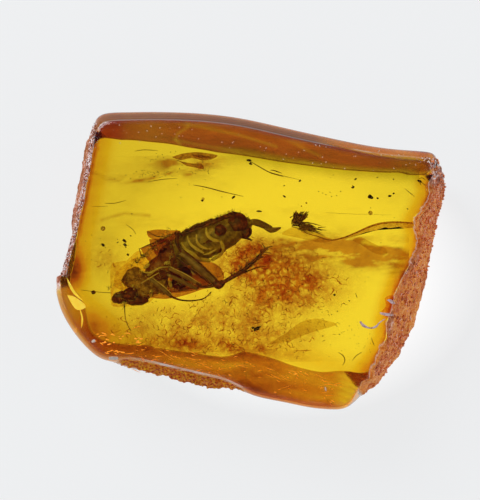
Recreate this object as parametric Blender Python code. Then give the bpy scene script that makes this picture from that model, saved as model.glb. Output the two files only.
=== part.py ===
"""A polished piece of amber, lying on its flat back: one natural solid.

Frame: +Z up, the resting face on z = 0, the origin under the middle of the piece's box.
+X runs along the longest extent, and the big polished face looks up.
The tables below are in millimetres; the solid is made in metres.
"""
import math

import bmesh
import bpy
from mathutils import Vector, noise

MM = 0.001

# Driving dimensions of the whole piece.
LENGTH = 24.0
WIDTH = 18.2
THICKNESS = 8.0
FACE_CROWN = 0.15  # how far the middle of the polished face stands above its rim

# How finely the solid is faceted.
POINTS_AROUND = 132
WALL_ROWS = 16  # rows of faces from the resting face up to the rim, closest at both ends
FACE_RINGS = 5  # rings from the rim of the polished face in to its middle
STEPS_PER_SPAN = 40  # fine steps between two outline points, before they are spaced evenly

# Broken walls carry lumps of this height and spacing, which die out near a sharp corner.
# Finer lumps ride on them.
LUMP_HEIGHT = 0.10
LUMP_SPACING = 1.3
FINE_LUMP_HEIGHT = 0.05
FINE_LUMP_SPACING = 0.565
LUMP_FADE = 1.6

# Near a sharp corner both of its walls lean in; the far one fades out over this distance.
CORNER_REACH = 5.0
# A wall's direction is read between two samples this far either side, clear of the rounded corners.
NORMAL_WINDOW = 3
CORNER_ROUND = 2

# Wall profiles, from the resting face up to the rim of the polished face.
# Each point is (height, distance inside the outline).
WALLS = {
    # The head end leans out over its foot, with a small rounded edge at the top.
    "head_left": [(0.0, 1.65), (1.3, 1.35), (3.0, 0.9), (5.1, 0.35), (6.9, 0.0), (7.5, 0.08), (7.85, 0.5)],
    "head": [(0.0, 2.25), (1.3, 1.85), (3.0, 1.2), (5.1, 0.5), (6.9, 0.0), (7.5, 0.08), (7.85, 0.5)],
    "head_right": [(0.0, 1.5), (1.3, 1.25), (3.0, 0.8), (5.1, 0.32), (6.9, 0.0), (7.5, 0.08), (7.85, 0.5)],
    # The right flank is a broken wall that spreads towards its foot.
    "flank": [(0.0, 0.8), (0.7, 0.25), (1.6, 0.0), (3.4, 0.3), (5.2, 0.65), (6.8, 0.95), (7.85, 1.2)],
    "flank_wide": [(0.0, 0.9), (0.7, 0.3), (1.6, 0.0), (3.4, 0.45), (5.2, 1.0), (6.8, 1.45), (7.85, 1.75)],
    # The tail leans out evenly over its foot, up to a narrow rounded edge.
    "tail": [(0.0, 2.4), (2.0, 1.8), (4.0, 1.18), (6.0, 0.52), (7.45, 0.0), (7.85, 0.25)],
    # The same wall, where a rough chip has been broken off along the top.
    "chip": [(0.0, 1.7), (2.5, 0.85), (4.8, 0.05), (5.4, 0.0), (6.3, 0.15), (7.4, 0.5), (7.85, 0.75)],
    # The polished corner leans less, and less again at its narrowing end.
    "corner": [(0.0, 1.3), (2.0, 1.0), (4.0, 0.68), (6.0, 0.32), (7.3, 0.0), (7.85, 0.3)],
    "shoulder": [(0.0, 1.0), (2.0, 0.75), (4.0, 0.5), (6.0, 0.22), (7.3, 0.0), (7.85, 0.25)],
    # The left side is a steep broken wall.
    "side": [(0.0, 0.6), (0.7, 0.15), (1.5, 0.0), (3.3, 0.08), (5.1, 0.18), (6.8, 0.28), (7.85, 0.45)],
}
ROUGH_WALLS = ("flank", "flank_wide", "side")

# The outline seen from above, clockwise: (wall that starts here, x, y).
OUTLINE = [
    ("head_left", -9.85, 8.7),
    ("head_left", -9.3, 9.0),
    ("head_left", -7.8, 9.08),
    ("head", -5.2, 9.1),
    ("head", -2.7, 8.97),
    ("head", -0.4, 8.65),
    ("head_right", 3.4, 7.8),
    ("head_right", 7.5, 6.98),
    ("head_right", 11.45, 6.6),
    ("flank", 12.02, 6.42),
    ("flank", 12.05, 5.6),
    ("flank", 11.4, 2.6),
    ("flank_wide", 10.8, -0.5),
    ("flank_wide", 10.3, -2.8),
    ("flank", 9.2, -5.3),
    ("flank", 7.6, -7.8),
    ("flank", 7.2, -8.6),
    ("tail", 6.75, -9.05),
    ("tail", 5.9, -9.1),
    ("tail", 4.0, -8.92),
    ("tail", 1.7, -8.46),
    ("chip", -0.9, -7.92),
    ("chip", -3.6, -7.33),
    ("chip", -6.3, -6.7),
    ("corner", -8.6, -6.2),
    ("corner", -9.8, -5.45),
    ("corner", -10.8, -4.35),
    ("corner", -11.6, -3.05),
    ("shoulder", -11.97, -1.7),
    ("shoulder", -11.85, -0.6),
    ("side", -11.3, 1.5),
    ("side", -10.65, 4.3),
    ("side", -10.05, 7.7),
]
# The outline points that are sharp corners, where one wall gives way to the next at once.
SHARP_CORNERS = (0, 9, 17)


def smooth(t):
    """Ease from 0 to 1."""
    t = min(1.0, max(0.0, t))
    return t * t * (3.0 - 2.0 * t)


def hermite(start, end, slope_in, slope_out, t):
    """A point on the cubic curve from start to end."""
    return (
        start * (2 * t**3 - 3 * t**2 + 1)
        + slope_in * (t**3 - 2 * t**2 + t)
        + end * (3 * t**2 - 2 * t**3)
        + slope_out * (t**3 - t**2)
    )


def inset_at(wall, height):
    """How far a wall stands inside the outline at a height."""
    points = WALLS[wall]
    last = len(points) - 1
    span = 0
    while span < last - 1 and points[span + 1][0] < height:
        span += 1

    def slope(index):
        low = points[max(0, index - 1)]
        high = points[min(last, index + 1)]
        return (high[1] - low[1]) / (high[0] - low[0])

    run = points[span + 1][0] - points[span][0]
    t = (height - points[span][0]) / run
    return hermite(points[span][1], points[span + 1][1], slope(span) * run, slope(span + 1) * run, t)


def outline_samples():
    """Evenly spaced (point, place along the list of outline points), and their spacing."""
    corners = [Vector((x, y)) for _, x, y in OUTLINE]
    count = len(corners)
    fine = []
    for span in range(count):
        before, start, end, after = [corners[(span + step) % count] for step in (-1, 0, 1, 2)]
        for step in range(STEPS_PER_SPAN):
            t = step / STEPS_PER_SPAN
            fine.append((hermite(start, end, (end - before) / 2, (after - start) / 2, t), span + t))
    lengths = [0.0]
    for (here, _), (there, _) in zip(fine, fine[1:] + fine[:1]):
        lengths.append(lengths[-1] + (there - here).length)
    samples = []
    index = 0
    for number in range(POINTS_AROUND):
        while lengths[index + 1] < lengths[-1] * number / POINTS_AROUND:
            index += 1
        samples.append(fine[index])
    return samples, lengths[-1] / POINTS_AROUND


def walls_at(place):
    """The walls at a place along the outline and their weights: one, or two where they merge."""
    span = int(place)
    t = place - span
    own = OUTLINE[span][0]
    if t < 0.5:
        other, at_point, share = OUTLINE[span - 1][0], span, smooth(0.5 - t)
    else:
        after = (span + 1) % len(OUTLINE)
        other, at_point, share = OUTLINE[after][0], after, smooth(t - 0.5)
    if other == own or at_point in SHARP_CORNERS:
        return {own: 1.0}
    return {own: 1.0 - share, other: share}


def blended_inset(walls, height):
    return sum(inset_at(wall, height) * weight for wall, weight in walls.items())


class Rim:
    """The samples around the outline, in stretches from one sharp corner to the next."""

    def __init__(self):
        self.samples, self.spacing = outline_samples()
        self.count = len(self.samples)
        corners = [
            next(number for number, (_, place) in enumerate(self.samples) if place >= corner)
            for corner in SHARP_CORNERS
        ]
        self.stretches = list(zip(corners, corners[1:] + [corners[0] + self.count]))

    def lean(self, number, stretch):
        """The walls at a sample and their inward direction, read clear of the rounded corners."""
        margin = CORNER_ROUND + NORMAL_WINDOW
        number = max(stretch[0] + margin, min(stretch[1] - margin, number))
        chord = (
            self.samples[(number + NORMAL_WINDOW) % self.count][0]
            - self.samples[(number - NORMAL_WINDOW) % self.count][0]
        )
        walls = walls_at(self.samples[number % self.count][1])
        return walls, Vector((chord.y, -chord.x)).normalized()

    def place(self, index):
        """The stretch that a sample lies on, and the sample's number counted along it."""
        for order, (low, high) in enumerate(self.stretches):
            for number in (index, index + self.count):
                if low <= number < high:
                    return order, number
        raise ValueError("a sample lies outside every stretch")

    def far_leans(self, order, number):
        """The (walls, inward direction, strength) of the walls past the two nearest corners."""
        low, high = self.stretches[order]
        before = self.stretches[order - 1]
        after = self.stretches[(order + 1) % len(self.stretches)]
        leans = []
        for far, corner, far_end in ((before, low, before[1]), (after, high, after[0])):
            strength = 1.0 - smooth(abs(number - corner) * self.spacing / CORNER_REACH)
            leans.append((*self.lean(far_end, far), strength))
        return leans

    def brokenness(self, order, number):
        """How broken the wall is at a sample, 0 to 1."""
        low, high = self.stretches[order]
        walls = walls_at(self.samples[number % self.count][1])
        rough = sum(weight for wall, weight in walls.items() if wall in ROUGH_WALLS)
        return rough * smooth(min(number - low, high - number) * self.spacing / LUMP_FADE)

    def column(self, index, heights):
        """The points of the wall at a sample, one at each height."""
        order, number = self.place(index)
        walls = walls_at(self.samples[index][1])
        _, inward = self.lean(number, self.stretches[order])
        far_leans = self.far_leans(order, number)
        broken = self.brokenness(order, number)
        points = []
        for height in heights:
            inset = blended_inset(walls, height)
            spot = self.samples[index][0] + inward * inset
            for far_walls, far_inward, strength in far_leans:
                # Slide along this wall until the far wall's inset is met too, as in a mitre.
                cosine = inward.dot(far_inward)
                slide = (blended_inset(far_walls, height) - cosine * inset) / (1.0 - cosine**2)
                spot += (far_inward - inward * cosine) * slide * strength
            point = Vector((spot.x, spot.y, height))
            lump = LUMP_HEIGHT * noise.noise(point / LUMP_SPACING)
            lump += FINE_LUMP_HEIGHT * noise.noise(point / FINE_LUMP_SPACING)
            hold = math.sin(math.pi * height / heights[-1]) ** 0.5 if 0 < height < heights[-1] else 0.0
            shift = inward * (lump * broken * hold)
            points.append(point + Vector((shift.x, shift.y, 0.0)))
        return points


def fit_to_size(columns):
    """Stretch the columns to the exact length and width, centred on the origin."""
    points = [point for points in columns for point in points]
    for axis, size in ((0, LENGTH), (1, WIDTH)):
        low = min(point[axis] for point in points)
        high = max(point[axis] for point in points)
        for point in points:
            point[axis] = (point[axis] - (low + high) / 2) * size / (high - low)


def bridge(mesh, lower, upper):
    """Join two rings with a band of quads."""
    for here, after in zip(range(len(lower)), list(range(1, len(lower))) + [0]):
        mesh.faces.new((lower[here], upper[here], upper[after], lower[after]))


def polished_face(mesh, rim):
    """Close the top with rings that rise gently to the middle."""
    middle = sum((vert.co for vert in rim), Vector()) / len(rim)
    ring = rim
    for step in range(1, FACE_RINGS):
        out = 1.0 - step / FACE_RINGS
        rise = Vector((0.0, 0.0, FACE_CROWN * MM * (1.0 - out * out)))
        inner = [mesh.verts.new(middle + (vert.co - middle) * out + rise) for vert in rim]
        bridge(mesh, ring, inner)
        ring = inner
    top = mesh.verts.new((middle.x, middle.y, THICKNESS * MM))
    for here, there in zip(ring, ring[1:] + ring[:1]):
        mesh.faces.new((there, here, top))


def amber_mesh():
    """The whole piece as one closed mesh: resting face, walls and polished face."""
    rim_height = THICKNESS - FACE_CROWN
    heights = [rim_height * (1 - math.cos(math.pi * row / WALL_ROWS)) / 2 for row in range(WALL_ROWS + 1)]
    rim = Rim()
    columns = [rim.column(index, heights) for index in range(rim.count)]
    fit_to_size(columns)

    mesh = bmesh.new()
    rings = [[mesh.verts.new(points[row] * MM) for points in columns] for row in range(len(heights))]
    mesh.faces.new(rings[0])
    for lower, upper in zip(rings, rings[1:]):
        bridge(mesh, lower, upper)
    polished_face(mesh, rings[-1])
    bmesh.ops.recalc_face_normals(mesh, faces=mesh.faces)
    bmesh.ops.triangulate(mesh, faces=mesh.faces)
    data = bpy.data.meshes.new("amber")
    mesh.to_mesh(data)
    mesh.free()
    return data


def amber_material():
    """Clear honey-yellow resin."""
    material = bpy.data.materials.new("amber")
    material.use_nodes = True
    shader = material.node_tree.nodes["Principled BSDF"]
    shader.inputs["Base Color"].default_value = (0.83, 0.55, 0.05, 1.0)
    shader.inputs["Metallic"].default_value = 0.0
    shader.inputs["Roughness"].default_value = 0.08
    shader.inputs["IOR"].default_value = 1.54
    shader.inputs["Transmission Weight"].default_value = 1.0
    return material


def main():
    for old in list(bpy.data.objects):
        bpy.data.objects.remove(old, do_unlink=True)
    group = bpy.data.collections.new("insect_in_amber")
    bpy.context.scene.collection.children.link(group)
    data = amber_mesh()
    data.materials.append(amber_material())
    data.shade_smooth()
    data.set_sharp_from_angle(angle=math.radians(40.0))
    group.objects.link(bpy.data.objects.new("amber", data))


main()
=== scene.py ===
"""Looks of the insect in amber: the resin, what is sealed in it, the floor, light and camera.

The amber lies flat on its back and the camera looks straight down on it. All places and sizes
are in millimetres, in the part's own frame, unless a name or comment says otherwise.
"""
import math
import random

import bpy
import numpy as np
from mathutils import Matrix, Vector, geometry, noise
from mathutils.bvhtree import BVHTree


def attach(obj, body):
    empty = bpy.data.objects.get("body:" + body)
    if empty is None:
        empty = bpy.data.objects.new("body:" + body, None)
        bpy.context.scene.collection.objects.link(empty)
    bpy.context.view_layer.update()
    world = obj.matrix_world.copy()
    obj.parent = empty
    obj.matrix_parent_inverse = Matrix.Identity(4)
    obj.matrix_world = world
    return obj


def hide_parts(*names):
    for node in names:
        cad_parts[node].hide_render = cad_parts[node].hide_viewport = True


MM = 0.001  # metres

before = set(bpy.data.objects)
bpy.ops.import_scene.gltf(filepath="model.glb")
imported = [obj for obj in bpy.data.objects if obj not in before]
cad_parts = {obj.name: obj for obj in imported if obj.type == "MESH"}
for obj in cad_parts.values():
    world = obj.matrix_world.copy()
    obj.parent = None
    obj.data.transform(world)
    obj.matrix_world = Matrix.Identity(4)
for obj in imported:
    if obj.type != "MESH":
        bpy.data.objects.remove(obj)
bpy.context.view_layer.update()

# ---------------------------------------------------------------- sizes of the resin's surface

COLUMNS = 640  # columns of points around the piece
BASE_RINGS = 34  # rings of points on the foot
WALL_ROWS = 64  # rows of points up the walls
FACE_RINGS = 46  # rings of points on the polished face
RIM = BASE_RINGS + WALL_ROWS  # the row of points where the polished face begins
RIND_OVERLAP = 6  # rings that the brown skin reaches past the rim, under the polished face
MIDDLE = (0.3, 0.0)  # the columns are spread around this place
THICKNESS = 8.0
MOST_LEAN = 0.35  # millimetres out for each one up; a wall leaning further would go dark
FACE_CROWN = 0.15  # how far the face's middle stands above its rim
RIM_HEIGHT = THICKNESS - FACE_CROWN

# Directions of the walls' ends, in degrees around the middle from +X.
FLANK = (-51.2, 26.5)
HEAD = (27.0, 140.5)
SIDE = (142.0, 187.0)
CORNER = (187.0, 217.0)
CHIP = (217.0, 263.0)
TAIL = (268.0, 308.5)

# Where the broken flank bites into the polished face, from the head end down.
FLANK_EDGE = [
    (10.8, 6.25), (11.1, 5.3), (10.85, 4.7), (10.95, 4.15), (10.75, 3.7), (10.5, 3.15), (10.05, 2.4),
    (10.2, 1.75), (10.2, 0.9), (9.6, -0.4), (9.1, -1.2), (8.7, -2.3), (8.3, -3.75), (8.25, -4.75),
    (7.9, -5.55), (7.35, -6.6), (7.2, -7.2), (6.8, -8.35),
]
SIDE_EDGE = [(-9.45, 8.25), (-9.8, 6.2), (-10.25, 3.7), (-10.75, 1.55), (-11.35, -0.9)]
# The foot of the undercut corner and tail, where the clear field gives way to the lower band.
TAIL_FOOT = [
    (-11.35, -0.8), (-10.85, -1.9), (-10.25, -2.9), (-10.2, -3.6), (-9.9, -4.6), (-8.85, -5.1),
    (-6.9, -5.15), (-4.45, -5.2), (-0.75, -5.4), (0.5, -5.65), (2.25, -5.8), (3.65, -6.1),
    (4.95, -6.5), (5.9, -6.85), (7.2, -7.1),
]
# The foot of the head wall, where the dark band ends.
HEAD_FOOT = [
    (-10.4, 7.4), (-7.5, 7.4), (-5.2, 7.2), (-2.9, 6.75), (-0.55, 6.45), (1.8, 6.05), (5.1, 5.6),
    (8.4, 5.35), (11.2, 5.2),
]
# Clearer lines in the dark band along the head wall, and how much clearer they are.
HEAD_LINES = [
    ([(-4.9, 8.3), (-3.0, 8.05), (-0.8, 7.6), (1.5, 6.9)], 0.30),
    ([(-4.9, 7.35), (-3.2, 7.0), (-0.8, 6.65)], 0.25),
    ([(2.9, 6.0), (4.2, 5.7)], 0.25),
    ([(-0.4, 8.0), (2.0, 7.3), (4.2, 6.3)], 0.20),
    ([(-3.9, 8.1), (-4.6, 7.7), (-4.75, 7.3), (-4.4, 7.0)], 0.30),
]
# What the resin's surface is like at each point, from 0 to 1, kept on its mesh for its material.
MASKS = ("broken", "crust", "raw", "stain", "chalk", "painted_rim_highlight", "dull")
CLEAR = (1.0, 1.0, 1.0)
DOWN = Vector((0.0, 0.0, -1.0))
BESIDE = 4.0  # height given to a place just beside the piece


# ---------------------------------------------------------------- small helpers

def ease(x):
    """0 below 0, 1 above 1, smooth between; works on arrays."""
    x = np.clip(x, 0.0, 1.0)
    return x * x * (3.0 - 2.0 * x)


def window(angle, ends, fade):
    """1 between two directions in degrees, fading to 0 over fade degrees outside them."""
    middle = (ends[0] + ends[1]) / 2
    half = (ends[1] - ends[0]) / 2
    away = np.abs((angle - middle + 180.0) % 360.0 - 180.0)
    return ease(1.0 - (away - half) / fade)


def fractal(points, size, octaves=3, seed=0.0):
    """Seeded fractal noise, about -1 to 1, at points given in rows; size is the lump size."""
    shift = Vector((seed * 7.13, seed * 3.71, seed * 5.27))
    flat = np.asarray(points, float).reshape(-1, 3)
    values = [noise.fractal(Vector(point) / size + shift, 0.9, 2.1, octaves) for point in flat]
    return np.array(values).reshape(np.shape(points)[:-1])


def distance_to(path, points):
    """Distance from each point to a line through the path, seen from above."""
    places = np.asarray(points, float)[..., :2]
    best = np.full(places.shape[:-1], np.inf)
    for start, end in zip(path, path[1:]):
        start = np.array(start)
        along = np.array(end) - start
        share = np.clip((places - start) @ along / (along @ along), 0.0, 1.0)
        gap = places - start - share[..., None] * along
        best = np.minimum(best, np.hypot(gap[..., 0], gap[..., 1]))
    return best


def near(path, points, reach):
    """1 on a path, fading to 0 at the given reach from it, seen from above."""
    return ease(1.0 - distance_to(path, points) / reach)


def spot(points, centre, reach):
    """A soft round or oval spot, 1 at its centre, seen from above."""
    places = np.asarray(points, float)[..., :2]
    away = ((places - np.array(centre)) / np.array(reach)) ** 2
    return np.exp(-away.sum(axis=-1))


def sum_of_spots(points, rows):
    """Several soft spots added up, each a strength, a centre and a reach."""
    return sum(strength * spot(points, centre, reach) for strength, centre, reach in rows)


def set_mask(mesh, name, values):
    attribute = mesh.attributes.new(name, "FLOAT", "POINT")
    attribute.data.foreach_set("value", np.asarray(values, np.float32).ravel())


def new_mesh(name, points, faces):
    """A mesh from points in millimetres."""
    mesh = bpy.data.meshes.new(name)
    mesh.from_pydata([tuple(c * MM for c in point) for point in points], [], faces)
    mesh.validate()
    return mesh


def add_object(name, mesh, material):
    mesh.materials.append(material)
    piece = bpy.data.objects.new(name, mesh)
    bpy.context.scene.collection.objects.link(piece)
    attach(piece, "root")
    return piece


# ---------------------------------------------------------------- materials

class Nodes:
    """A material and short ways to add nodes to it."""

    def __init__(self, name):
        self.material = bpy.data.materials.new(name)
        self.material.use_nodes = True
        self.tree = self.material.node_tree
        self.shader = self.tree.nodes["Principled BSDF"]
        self.place = self.new("TexCoord").outputs["Object"]

    def new(self, kind, **inputs):
        """A shader node with its inputs set or linked; underscores stand for spaces."""
        node = self.tree.nodes.new("ShaderNode" + kind)
        for name, value in inputs.items():
            self.put(value, node.inputs[name.replace("_", " ")])
        return node

    def put(self, value, socket):
        if isinstance(value, bpy.types.NodeSocket):
            self.tree.links.new(value, socket)
        else:
            socket.default_value = value

    def set(self, **values):
        """Set the shader's inputs, with underscores for spaces in their names."""
        for name, value in values.items():
            self.put(value, self.shader.inputs[name.replace("_", " ")])

    def mask(self, name):
        node = self.new("Attribute")
        node.attribute_name = name
        return node.outputs["Fac"]

    def noise(self, size, detail=4.0, rough=0.55, stretch=None, output="Fac"):
        """Noise with lumps of about the given size; stretch holds scales and a turn in degrees."""
        place = self.place
        if stretch:
            turn = (0.0, 0.0, math.radians(stretch[1]))
            place = self.new("Mapping", Vector=place, Scale=stretch[0], Rotation=turn).outputs["Vector"]
        node = self.new("TexNoise", Vector=place, Scale=1.0 / (size * MM), Detail=detail, Roughness=rough)
        return node.outputs[output]

    def ramp(self, source, stops):
        node = self.new("ValToRGB", Fac=source)
        elements = node.color_ramp.elements
        elements[0].position, elements[0].color = stops[0][0], (*stops[0][1], 1.0)
        elements[1].position, elements[1].color = stops[-1][0], (*stops[-1][1], 1.0)
        for position, color in stops[1:-1]:
            elements.new(position).color = (*color, 1.0)
        return node.outputs["Color"]

    def spread(self, source, colors, low, high):
        """Colours at even steps between two values of the source."""
        return self.ramp(source, list(zip(np.linspace(low, high, len(colors)).tolist(), colors)))

    def mix(self, factor, first, second, blend="MIX"):
        node = self.new("Mix")
        node.data_type = "RGBA"
        node.blend_type = blend
        self.put(factor, node.inputs["Factor"])
        for value, name in ((first, "A"), (second, "B")):
            socket = next(s for s in node.inputs if s.name == name and s.type == "RGBA")
            self.put((*value, 1.0) if isinstance(value, tuple) else value, socket)
        return next(s for s in node.outputs if s.type == "RGBA")

    def maths(self, operation, *values, clamp=True):
        node = self.new("Math")
        node.operation = operation
        node.use_clamp = clamp
        for index, value in enumerate(values):
            self.put(value, node.inputs[index])
        return node.outputs["Value"]

    def times(self, first, second, clamp=True):
        return self.maths("MULTIPLY", first, second, clamp=clamp)

    def largest(self, *values):
        largest = values[0]
        for value in values[1:]:
            largest = self.maths("MAXIMUM", largest, value)
        return largest

    def less(self, whole, value):
        return self.maths("SUBTRACT", whole, value)

    def cell_walls(self, size, wobble, width):
        """1 on the crooked walls between cells, fading to 0 inside them."""
        offset = self.new("VectorMath")
        offset.operation = "MULTIPLY_ADD"
        self.put(self.noise(size * 0.7, 3.0, 0.5, output="Color"), offset.inputs[0])
        self.put((wobble * MM,) * 3, offset.inputs[1])
        self.put(self.place, offset.inputs[2])
        cells = self.new("TexVoronoi", Vector=offset.outputs["Vector"], Scale=1.0 / (size * MM))
        cells.feature = "DISTANCE_TO_EDGE"
        fade = self.new("MapRange", Value=cells.outputs["Distance"], From_Min=width / size, From_Max=0.0)
        fade.interpolation_type = "SMOOTHSTEP"
        return fade.outputs["Result"]

    def film(self, tint, clear=1.0):
        """A sheet without gloss that only tints the light passing through it."""
        self.set(Base_Color=tint, Roughness=0.0, IOR=1.0, Transmission_Weight=clear)
        return self.material

    def bump(self, height, depth, strength=1.0):
        node = self.new("Bump", Height=height, Distance=depth * MM, Strength=strength)
        self.set(Normal=node.outputs["Normal"])


def rough_color(nodes, grain, chalk):
    """The broken sides: ruddy grains in lighter and darker patches, going over to chalk."""
    ruddy = nodes.ramp(grain, [
        (0.32, (0.30, 0.026, 0.004)), (0.44, (0.92, 0.23, 0.025)), (0.56, (1.0, 0.45, 0.10)),
        (0.72, (1.0, 0.66, 0.42)),
    ])
    patches = nodes.ramp(nodes.noise(1.5, 4.0, 0.6), [(0.38, (0.70, 0.44, 0.40)), (0.56, CLEAR)])
    chalky = nodes.ramp(nodes.noise(0.6, 8.0, 0.8), [
        (0.42, (0.10, 0.012, 0.005)), (0.53, (0.48, 0.16, 0.11)), (0.61, (1.0, 0.92, 0.92)),
    ])
    ruddy = nodes.mix(1.0, ruddy, patches, "MULTIPLY")
    return nodes.mix(nodes.times(chalk, 0.9), ruddy, chalky)


def stain_and_shade_color(nodes, stain):
    """Clear resin, olive to nearly black where it is stained or darkened by painted shade, with
    ripples in that darkening.
    """
    ripple = nodes.maths("MULTIPLY_ADD", nodes.noise(0.5, 5.0, 0.6), 0.5, -0.25, clamp=False)
    return nodes.ramp(nodes.maths("ADD", stain, nodes.times(ripple, stain, clamp=False)), [
        (0.0, CLEAR), (0.25, (0.74, 0.44, 0.06)), (0.5, (0.56, 0.14, 0.02)),
        (0.75, (0.25, 0.015, 0.005)), (1.0, (0.04, 0.001, 0.003)),
    ])


def amber_material():
    """Clear honey resin; masks on the mesh say where it is broken, crusted or stained, where
    shade is painted on its foot and where a highlight is painted on its polished edge.
    """
    nodes = Nodes("amber_resin")
    per_metre = 470.0
    volume = nodes.new("VolumeAbsorption", Color=(0.9975, 0.918, 0.04, 1.0), Density=per_metre)
    nodes.put(volume.outputs["Volume"], nodes.tree.nodes["Material Output"].inputs["Volume"])

    broken, crust, raw, stain, chalk, painted_rim_highlight, dull = (nodes.mask(name) for name in MASKS)
    grain = nodes.noise(0.16, 6.0, 0.7)
    raw_resin = nodes.ramp(grain, [
        (0.36, (0.28, 0.016, 0.002)), (0.48, (0.80, 0.12, 0.006)), (0.58, (1.0, 0.52, 0.018)),
    ])
    skin = nodes.ramp(nodes.noise(1.6, 4.0, 0.6, stretch=((0.35, 1.0, 1.0), -6.0)), [
        (0.30, (0.10, 0.012, 0.002)), (0.52, (0.22, 0.036, 0.006)), (0.75, (0.40, 0.10, 0.016)),
    ])
    # The stain mask holds real stain and also painted shade along the broken sides.
    tint = nodes.mix(crust, stain_and_shade_color(nodes, stain), skin)
    tint = nodes.mix(raw, tint, raw_resin)
    tint = nodes.mix(broken, tint, rough_color(nodes, grain, chalk))
    tint = nodes.mix(dull, tint, (0.15, 0.050, 0.040))
    # Painted highlight: the polished edge is whitened above the chipped facet and at the head's right end.
    tint = nodes.mix(painted_rim_highlight, tint, (0.90, 0.80, 0.78))
    opaque = nodes.largest(
        nodes.times(broken, 0.95), nodes.times(crust, 0.35), nodes.times(raw, 0.92),
        nodes.times(painted_rim_highlight, 0.85), nodes.times(dull, 0.9),
    )
    rugged = nodes.largest(broken, raw)
    rough = nodes.largest(nodes.times(broken, 0.45), nodes.times(raw, 0.5))
    nodes.set(
        Base_Color=tint,
        Specular_IOR_Level=nodes.less(0.5, nodes.times(rugged, 0.46)),
        IOR=1.54,
        Transmission_Weight=nodes.less(1.0, opaque),
        Roughness=nodes.maths("ADD", rough, 0.03),
    )
    fine = nodes.times(nodes.noise(0.07, 3.0, 0.6), 0.4)
    nodes.bump(nodes.maths("ADD", grain, fine, clamp=False), 0.07, rugged)
    return nodes.material


def solid_material(name, colors, size=0.2, roughness=0.35, glow=None):
    """An opaque material mottled between colours; glow is a faint light's colour and strength."""
    nodes = Nodes(name)
    mottle = nodes.noise(size, 6.0, 0.68)
    nodes.set(Base_Color=nodes.spread(mottle, colors, 0.34, 0.66), Roughness=roughness)
    if glow:
        nodes.set(Emission_Color=(*glow[0], 1.0), Emission_Strength=glow[1])
    nodes.bump(mottle, 0.02)
    return nodes.material


def film_material(name, colors, size=0.3, clear=0.8, detail=4.0, masked=False):
    """A thin mottled sheet that tints the light passing through it; the mask fades it away."""
    nodes = Nodes(name)
    tint = nodes.spread(nodes.noise(size, detail, 0.6), colors, 0.32, 0.68)
    if masked:
        tint = nodes.mix(nodes.mask("haze"), CLEAR, tint)
    return nodes.film(tint, clear)


def rind_material(name, tints, turn, clear, grainy):
    """A streaked skin, clear where its mask is 0; turn is the streaks' heading in degrees."""
    nodes = Nodes(name)
    streaks = nodes.noise(2.4, 6.0, 0.62, stretch=((0.30, 1.2, 1.0), turn))
    grain = nodes.ramp(nodes.noise(0.4, 5.0, 0.7), [(0.36, (0.62, 0.42, 0.4)), (0.56, CLEAR)])
    color = nodes.mix(grainy, nodes.spread(streaks, tints, 0.30, 0.72), grain, "MULTIPLY")
    haze = nodes.mask("haze")
    return nodes.film(nodes.mix(haze, CLEAR, color), nodes.less(1.0, nodes.times(haze, 1.0 - clear)))


# ---------------------------------------------------------------- the resin

def skin_faces(sides, rows):
    """Faces over rows of points that lie between a first and a last single point."""
    end = 1 + rows * sides
    faces = []
    for side in range(sides):
        after = (side + 1) % sides
        faces.append((0, 1 + side, 1 + after))
        faces.append((end, end - sides + after, end - sides + side))
        for low in range(1, end - sides, sides):
            faces.append((low + side, low + sides + side, low + sides + after, low + after))
    return faces


def outward(angle):
    return Vector((math.cos(angle), math.sin(angle), 0.0))


def outline_directions(tree):
    """Directions that space the columns evenly along the outline at half height."""
    fine = np.linspace(0.0, 2 * math.pi, 2881)
    centre = Vector((*MIDDLE, RIM_HEIGHT / 2)) * MM
    found = np.array([tree.ray_cast(centre, outward(angle))[0][:2] for angle in fine])
    lengths = np.concatenate([[0.0], np.cumsum(np.linalg.norm(np.diff(found, axis=0), axis=1))])
    return np.interp(np.linspace(0.0, lengths[-1], COLUMNS, endpoint=False), lengths, fine)


def wall_radii(tree, angles, heights):
    """Distance from the middle out to the wall, for every height and direction."""
    rays = [outward(angle) for angle in angles]
    centres = [Vector((*MIDDLE, height)) * MM for height in heights]
    return np.array([[tree.ray_cast(centre, ray)[3] / MM for ray in rays] for centre in centres])


def smooth_around(rows, reach):
    """Blur each row around the piece by a bell of the given reach in columns."""
    steps = np.arange(-int(3 * reach) - 1, int(3 * reach) + 2)
    bell = np.exp(-0.5 * (steps / reach) ** 2)
    bell /= bell.sum()
    return sum(weight * np.roll(rows, step, axis=-1) for step, weight in zip(steps, bell))


def distance_out(path, angles):
    """Distance from the middle to a line, along each direction; nan where the line isn't met."""
    cos, sin = np.cos(angles), np.sin(angles)
    found = np.full(len(angles), np.nan)
    for start, end in zip(path, path[1:]):
        start = np.array(start) - MIDDLE
        along = np.array(end) - MIDDLE - start
        cross = cos * along[1] - sin * along[0]
        cross[cross == 0.0] = np.nan
        out = (start[0] * along[1] - start[1] * along[0]) / cross
        share = (start[0] * sin - start[1] * cos) / cross
        found = np.where((share >= 0.0) & (share <= 1.0) & (out > 0.0), out, found)
    return found


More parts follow.
